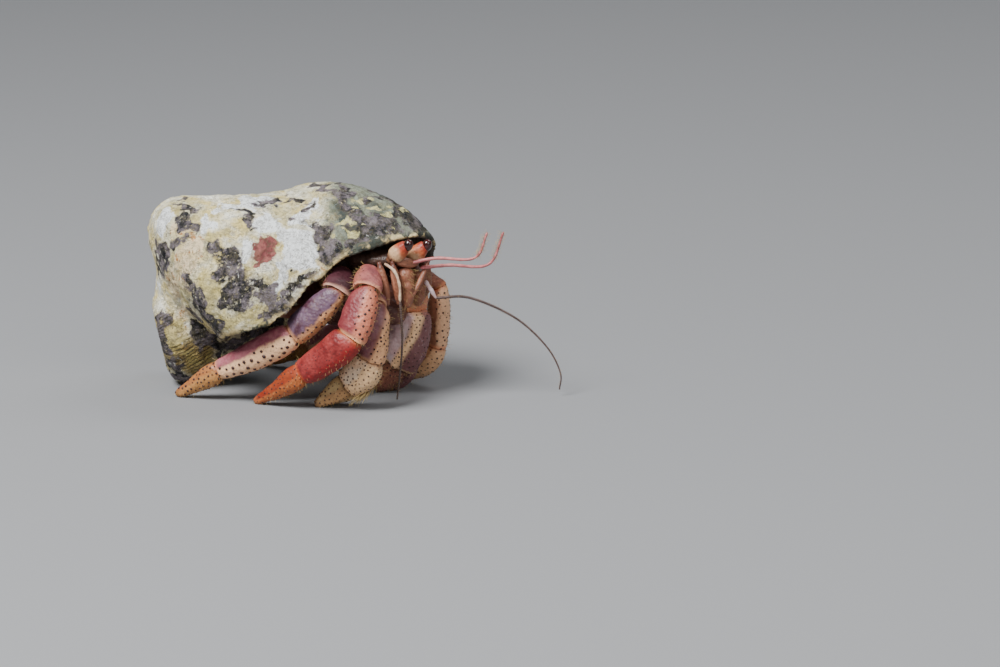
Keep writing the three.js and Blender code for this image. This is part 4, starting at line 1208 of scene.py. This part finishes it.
# ------------------------------------------------------------------ the crab's colours
def cuticle_paint(name, top, bloom, under, rim, joint, tip):
    """Hard, faintly glossy skin: one tone above its ridge and another below, a paler rim, a soft
    joint, and dark horny grains."""
    paint = Paint(name)
    ridge, near_joint, near_rim, near_tip, on_grain = [
        paint.field(field) for field in ("ridge", "joint", "rim", "tip", "grain")]
    wave = paint.noise(2.4, 4, 0.6, seed=1, warp=0.4)
    fine = paint.noise(0.55, 4, 0.65, seed=2)
    split = paint.add(ridge, paint.times(paint.add(wave, -0.5), 0.9))
    upper = paint.between(wave, 0.36, 0.62, top, bloom)
    paint.color = paint.mix(paint.step(split, -0.14, 0.18), srgb(*under), upper)
    paint.lay(paint.step(fine, 0.52, 0.68), tuple(0.62 * c for c in under), 0.35)
    paint.lay(paint.step(fine, 0.42, 0.28), tuple(min(255, 1.18 * c + 12) for c in bloom), 0.3)
    dots = paint.times(paint.step(paint.cells(0.62), 0.2, 0.1), paint.step(split, 0.1, -0.15))
    paint.lay(dots, GRAIN_TONE, 0.55)
    paint.lay(near_rim, rim, 0.75)
    paint.lay(near_joint, joint, 0.9)
    paint.lay(near_tip, tip, 0.7)
    paint.lay(on_grain, GRAIN_TONE)
    paint.bump(paint.cells(0.5, "SMOOTH_F1"), 0.2, 0.6)
    paint.bump(fine, 0.1, 0.5)
    return paint.finish(paint.add(0.4, paint.times(fine, 0.2)), specular=0.4, coat=0.05)


painted = {}


def look(name):
    """The material and the slot name of a look."""
    slot, *colors = LOOKS[name]
    if name not in painted:
        painted[name] = cuticle_paint(name, *colors)
    return painted[name], slot


# ------------------------------------------------------------------ the limbs
def left_of(line, form):
    """How far, in pixels of the picture, points show to the left of a line in it."""
    x, y = picture(form.points)
    along, across = np.array([p[1] for p in line]), np.array([p[0] for p in line])
    return np.interp(y, along, across) - x


def big_hand_ridge(form):
    """The big hand is pale to the left of its ridge and dark outside it; the ridge is a cream band."""
    off = left_of(BIG_HAND_RIDGE, form)
    form.fields["rim"] = np.maximum(form.fields["rim"], 1.3 * np.exp(-((off / 5.5) ** 4)))
    form.fields["raised"] = 0.5 * np.exp(-((off / 5.0) ** 2)) * smooth(form.fields["along"] / 0.2)
    return off / 14


def small_carpus_ridge(form):
    """The right claw's wrist is purple inside two cream, grained edges."""
    off = left_of(SMALL_CARPUS_RIDGE, form)
    form.fields["rim"] = np.maximum(form.fields["rim"], 0.8 * np.exp(-((off / 4.0) ** 2)))
    form.fields["raised"] = 0.25 * np.exp(-((off / 3.0) ** 2)) * smooth(form.fields["along"] / 0.2)
    return off / 14 - 0.1


def everywhere(f):
    return np.ones_like(f["up"]) * (1 - f["joint"])


def below(f):
    return smooth(0.5 - f["ridge"] * 2.5) * (1 - f["joint"])


def along_ridge(f):
    return (np.exp(-((f["ridge"] / 0.42) ** 4)) + 0.1 * smooth(-f["ridge"])) * (1 - f["joint"])


RULES = {rule.__name__: rule for rule in
         (big_hand_ridge, small_carpus_ridge, everywhere, below, along_ridge)}


def with_fixed_finger(palm, limb_name):
    """The palm and its fixed finger grown into one skin, which keeps the fields of both."""
    finger = rounded(*FIXED_FINGERS[limb_name])
    finger.fields["joint"][:] = 0
    both = joined([palm, finger])
    obj = remesh(both.object("hand"), HAND_VOXEL)
    points = vertices(obj)
    obj.data.calc_loop_triangles()
    triangles = np.array([t.vertices[:] for t in obj.data.loop_triangles])
    names = list(both.fields)
    values, _ = nearest_values(points, both.points, *[both.fields[n] for n in names])
    bpy.data.objects.remove(obj)
    return Form(points, triangles, dict(zip(names, values)))


def limb_bends(start, pieces):
    """Each piece's centreline and the planes in which it meets the piece before and after it."""
    points = [start] + [piece[1] for piece in pieces]
    bends = [Bend(a, piece[1], piece[2]) for a, piece in zip(points, pieces)]
    planes = [bends[0].along(0.0)]
    planes += [unit(a.along(1.0) + b.along(0.0)) for a, b in zip(bends, bends[1:])]
    planes += [bends[-1].along(1.0)]
    return list(zip(bends, planes, planes[1:]))


def tuft(form):
    """The long yellow bristles between the fingers of the small claw."""
    away = np.linalg.norm(form.points - TUFT_PLACE, axis=1)
    form.fields["near_tuft"] = np.exp(-(away / TUFT_REACH) ** 2)
    return hairs(form, *BRISTLES["tuft"], lambda f: f["near_tuft"], TUFT_SEED, TUFT_CELL)


def make_limb(limb_name, index):
    """Makes one limb's pieces, and returns the coat of bristles that they share."""
    start, pieces = LIMBS[limb_name]
    coat = []
    for k, (piece, (bend, first, last)) in enumerate(zip(pieces, limb_bends(start, pieces))):
        part, _, _, thin_way, sizes, look_name, ridge, count, spacing, radius, where = piece
        is_tip = k == len(pieces) - 1
        form = segment_form(bend, first, last, thin_way, sizes, is_tip)
        if part == "hand":
            form = with_fixed_finger(form, limb_name)
        form.fields["ridge"] = RULES[ridge](form) if ridge in RULES else form.fields["up"] - ridge
        relief = 0.10 * noise_at(form.points, 2.2, 40 + index, 2)
        relief = relief + 0.03 * noise_at(form.points, 0.7, 50, 2) + form.fields.get("raised", 0)
        form = form.moved(relief * (1 - form.fields["joint"]))
        form.points[:, 2] = np.maximum(form.points[:, 2], 0)
        seed = 100 * index + 10 * k
        grown = joined([form, grains(form, count, spacing, radius, RULES[where], seed)])
        material, slot = look(look_name)
        name = f"{limb_name}_{part}"
        finish_piece(grown.object(f"{name}_cuticle"), [name], material)
        if name == "claw_right_hand":
            coat.append(tuft(form))
        cell = (0.02 + 0.16 * index, 0.02 + 0.24 * k, 0.14, 0.2)
        coat.append(hairs(form, *BRISTLES["below"], below, seed + 3, cell))
        coat.append(hairs(form, *BRISTLES["rim"], lambda f: f["rim"], seed + 5, cell))
    return joined(coat)


def hair_paint():
    paint = Paint("bristles")
    paint.color = paint.mix(paint.field("length"), srgb(140, 106, 60), srgb(222, 196, 136))
    return paint.finish(0.5, specular=0.3)


def make_limbs():
    material = hair_paint()
    for index, limb_name in enumerate(LIMBS):
        coat = make_limb(limb_name, index)
        finish_piece(hair_object(coat, f"{limb_name}_bristles"), [], material)


# ------------------------------------------------------------------ the head
def spline(points, count):
    """Evenly spaced points on a smooth line through the given ones."""
    p = np.array(points, float)
    p = np.concatenate([[2 * p[0] - p[1]], p, [2 * p[-1] - p[-2]]])
    line = []
    for a, b, c, d in zip(p, p[1:], p[2:], p[3:]):
        t = np.linspace(0, 1, 24, endpoint=False)[:, None]
        line.append(0.5 * (2 * b + (c - a) * t + (2 * a - 5 * b + 4 * c - d) * t**2
                           + (3 * b - a - 3 * c + d) * t**3))
    line = np.concatenate(line + [p[-2:-1]])
    far = np.r_[0, np.cumsum(np.linalg.norm(np.diff(line, axis=0), axis=1))]
    at = np.linspace(0, far[-1], count)
    return np.stack([np.interp(at, far, line[:, k]) for k in range(3)], 1), far[-1]


def thread_form(points, first_radius, last_radius, ring_length, swelling, sides=10):
    """A feeler: a tube through the points, swollen once in each of its little rings."""
    length = spline(points, 2)[1]
    rows = max(12, int(length / ring_length * 5))
    centre, _ = spline(points, rows)
    along = unit(np.gradient(centre, axis=0))
    across = unit(np.cross(along[0], (0.3, 0.2, 1.0)))
    ways = []
    for way in along:
        across = unit(across - way * np.dot(across, way))
        ways.append(across)
    ways = np.array(ways)
    u = np.linspace(0, 1, rows)
    radius = first_radius + (last_radius - first_radius) * u
    wave = np.cos(u * length / ring_length * TURN)
    radius = radius * (1 + swelling * wave)
    radius[0], radius[-1] = radius[0] * 0.6, radius[-1] * 0.4
    angle, cos, sin = round_sides(sides)
    other = np.cross(along, ways)
    rings = (centre[:, None] + ways[:, None] * (radius[:, None] * cos)[..., None]
             + other[:, None] * (radius[:, None] * sin)[..., None])
    fields = {"along": by_row(u, sides), "up": by_side(cos, rows), "turn": by_side(angle / TURN, rows),
              "ridge": by_side(cos, rows) * 0.6, "rim": by_row(smooth((-wave - 0.5) * 2), sides)}
    return closed_tube(rings, fields)


def make_simple(name, form, look_name):
    """Makes a piece that stands for one node, in one look; the fields that it lacks are 0."""
    material, slot = look(look_name)
    for field in ("joint", "rim", "tip", "grain"):
        form.fields.setdefault(field, np.zeros(len(form.points)))
    return finish_piece(form.object(f"{name}_skin"), [name], material)


def eye_paint():
    paint = Paint("cornea")
    paint.color = paint.between(paint.noise(0.9, 2, 0.5, seed=3), 0.35, 0.7, (16, 5, 5), (64, 12, 8))
    return paint.finish(0.05, coat=0.6)


def egg(centre, axis, radii, rows=28, sides=36):
    """A rounded body about an axis: radii are half its length, breadth and depth."""
    axis = unit(np.array(axis, float))
    across = unit(np.cross(axis, (0.0, 1.0, 0.1)))
    depth = np.cross(axis, across)
    polar = np.linspace(0.12, math.pi - 0.12, rows)
    angle, cos, sin = round_sides(sides)
    ring = across[None] * (radii[1] * cos)[:, None] + depth[None] * (radii[2] * sin)[:, None]
    rings = (np.array(centre)[None, None] - axis * (radii[0] * np.cos(polar))[:, None, None]
             + ring[None] * np.sin(polar)[:, None, None])
    fields = {"along": by_row(np.linspace(0, 1, rows), sides), "turn": by_side(angle / TURN, rows),
              "up": by_side(cos, rows)}
    return closed_tube(rings, fields)


def make_eyes():
    cornea = eye_paint()
    for side, (root, front) in EYES.items():
        root, front = np.array(root), np.array(front)
        way = unit(front - root)
        bend = Bend(root - way * 0.4, front - way * 0.35)
        stalk = segment_form(bend, way, way, SIDE_WAY, STALK_SIZES, True, squareness=2.2)
        stalk.fields["ridge"] = stalk.fields["along"] - 0.55
        stalk.fields["rim"] = smooth((stalk.fields["along"] - 0.72) / 0.2)
        make_simple(f"eyestalk_{side}", stalk, "stalk")
        ball = egg(front + way * 0.02 + EYE_SHIFT, EYE_AXIS, EYE_RADII)
        finish_piece(ball.object(f"eye_{side}_cornea"), [f"eye_{side}"], cornea)


def everywhere_on_thread(f):
    return smooth(f["along"] / 0.1)


def outer_end(f):
    return smooth((f["along"] - 0.68) / 0.06)


def make_feelers():
    coat = []
    for k, (name, points, first, last, ring, swelling, look_name) in enumerate(FEELERS):
        form = thread_form(points, first, last, ring, swelling)
        make_simple(name, form, look_name)
        for kind, where, low in (("whip", everywhere_on_thread, 0.02), ("antennule", outer_end, 0.5)):
            if kind in name:
                cell = (0.02 + 0.15 * k, low, 0.12, 0.4)
                coat.append(hairs(form, *BRISTLES[kind], where, FEELER_SEED + k, cell))
    finish_piece(hair_object(joined(coat), "feeler_bristles"), [], hair_paint())


def mouth_plates(side):
    """The plates that go with one side's jaw leg, as forms."""
    made = []
    for its_side, start, bow, end, half in MOUTH_PLATES:
        if its_side == side:
            sizes = ((0, half * 0.8, half * 0.7), (0.4, half, half * 0.85), (0.8, half * 0.8, half * 0.7),
                     (1, half * 0.4, half * 0.4))
            made.append(rounded(start, bow, end, sizes))
    return made


def make_jaw_legs():
    coat = []
    for k, (side, line) in enumerate(JAW_LEGS.items()):
        leg, *plates = rounded(*line, JAW_LEG_SIZES), *mouth_plates(side)
        for form in (leg, *plates):
            form.fields["ridge"] = form.fields["up"]
        make_simple(f"maxilliped_{side}", joined([leg, *plates]), "mouth")
        cell = (0.02 + 0.3 * k, 0.02, 0.2, 0.4)
        coat.append(hairs(leg, *BRISTLES["jaw"], everywhere, JAW_SEED + k, cell))
    finish_piece(hair_object(joined(coat), "jaw_bristles"), [], hair_paint())


def make_trunk():
    for k, (name, start, end, bow, sizes, look_name) in enumerate(TRUNK):
        form = rounded(start, bow, end, sizes, SIDE_WAY if name == "abdomen" else (0, 0, 1))
        form.fields["ridge"] = form.fields["side"]
        form.fields["joint"][:] = 0
        relief = 0.22 * noise_at(form.points, 3.0, 60 + k, 2) + 0.08 * noise_at(form.points, 0.9, 70 + k, 2)
        grown = form.moved(relief)
        if name == "thorax":
            hips = [egg(centre, HIP_AXIS, radii) for centre, radii in CLAW_HIPS]
            grown = joined([grown, *hips])
        if name == "shield":
            grown = joined([grown, grains(grown, *SHIELD_GRAINS, everywhere, SHIELD_SEED)])
        make_simple(name, grown, look_name)
    for name, points, first, last in HIND_LEGS:
        make_simple(name, thread_form(points, first, last, 4.0, 0.14, sides=20), "mouth")


# ------------------------------------------------------------------ floor and light
def make_floor():
    corners = [(-FLOOR_REACH, -FLOOR_REACH, 0), (FLOOR_REACH, -FLOOR_REACH, 0),
               (FLOOR_REACH, FLOOR_REACH, 0), (-FLOOR_REACH, FLOOR_REACH, 0)]
    floor = new_object("floor", corners, [[0, 1, 2, 3]])
    paint = Paint("pale_floor")
    paint.color = srgb(*FLOOR_TONE)
    floor.data.materials.append(paint.finish(0.85, specular=0.2))


def make_lights():
    for name, azimuth, elevation, away, size, watts in LIGHTS:
        data = bpy.data.lights.new(name, "AREA")
        data.shape, data.size, data.energy = "DISK", size, watts
        light = bpy.data.objects.new(name, data)
        a, e = math.radians(azimuth), math.radians(elevation)
        light.location = Vector((math.cos(a) * math.cos(e), math.sin(a) * math.cos(e), math.sin(e))) * away
        light.rotation_euler = light.location.to_track_quat("Z", "Y").to_euler()
        bpy.context.collection.objects.link(light)
    world = bpy.data.worlds.new("world")
    world.use_nodes = True
    background = world.node_tree.nodes["Background"]
    background.inputs["Color"].default_value = SKY_TONE
    background.inputs["Strength"].default_value = SKY_STRENGTH
    bpy.context.scene.world = world


# ------------------------------------------------------------------ the whole model
make_camera()
make_shell()
make_limbs()
make_eyes()
make_feelers()
make_jaw_legs()
make_trunk()
make_floor()
make_lights()
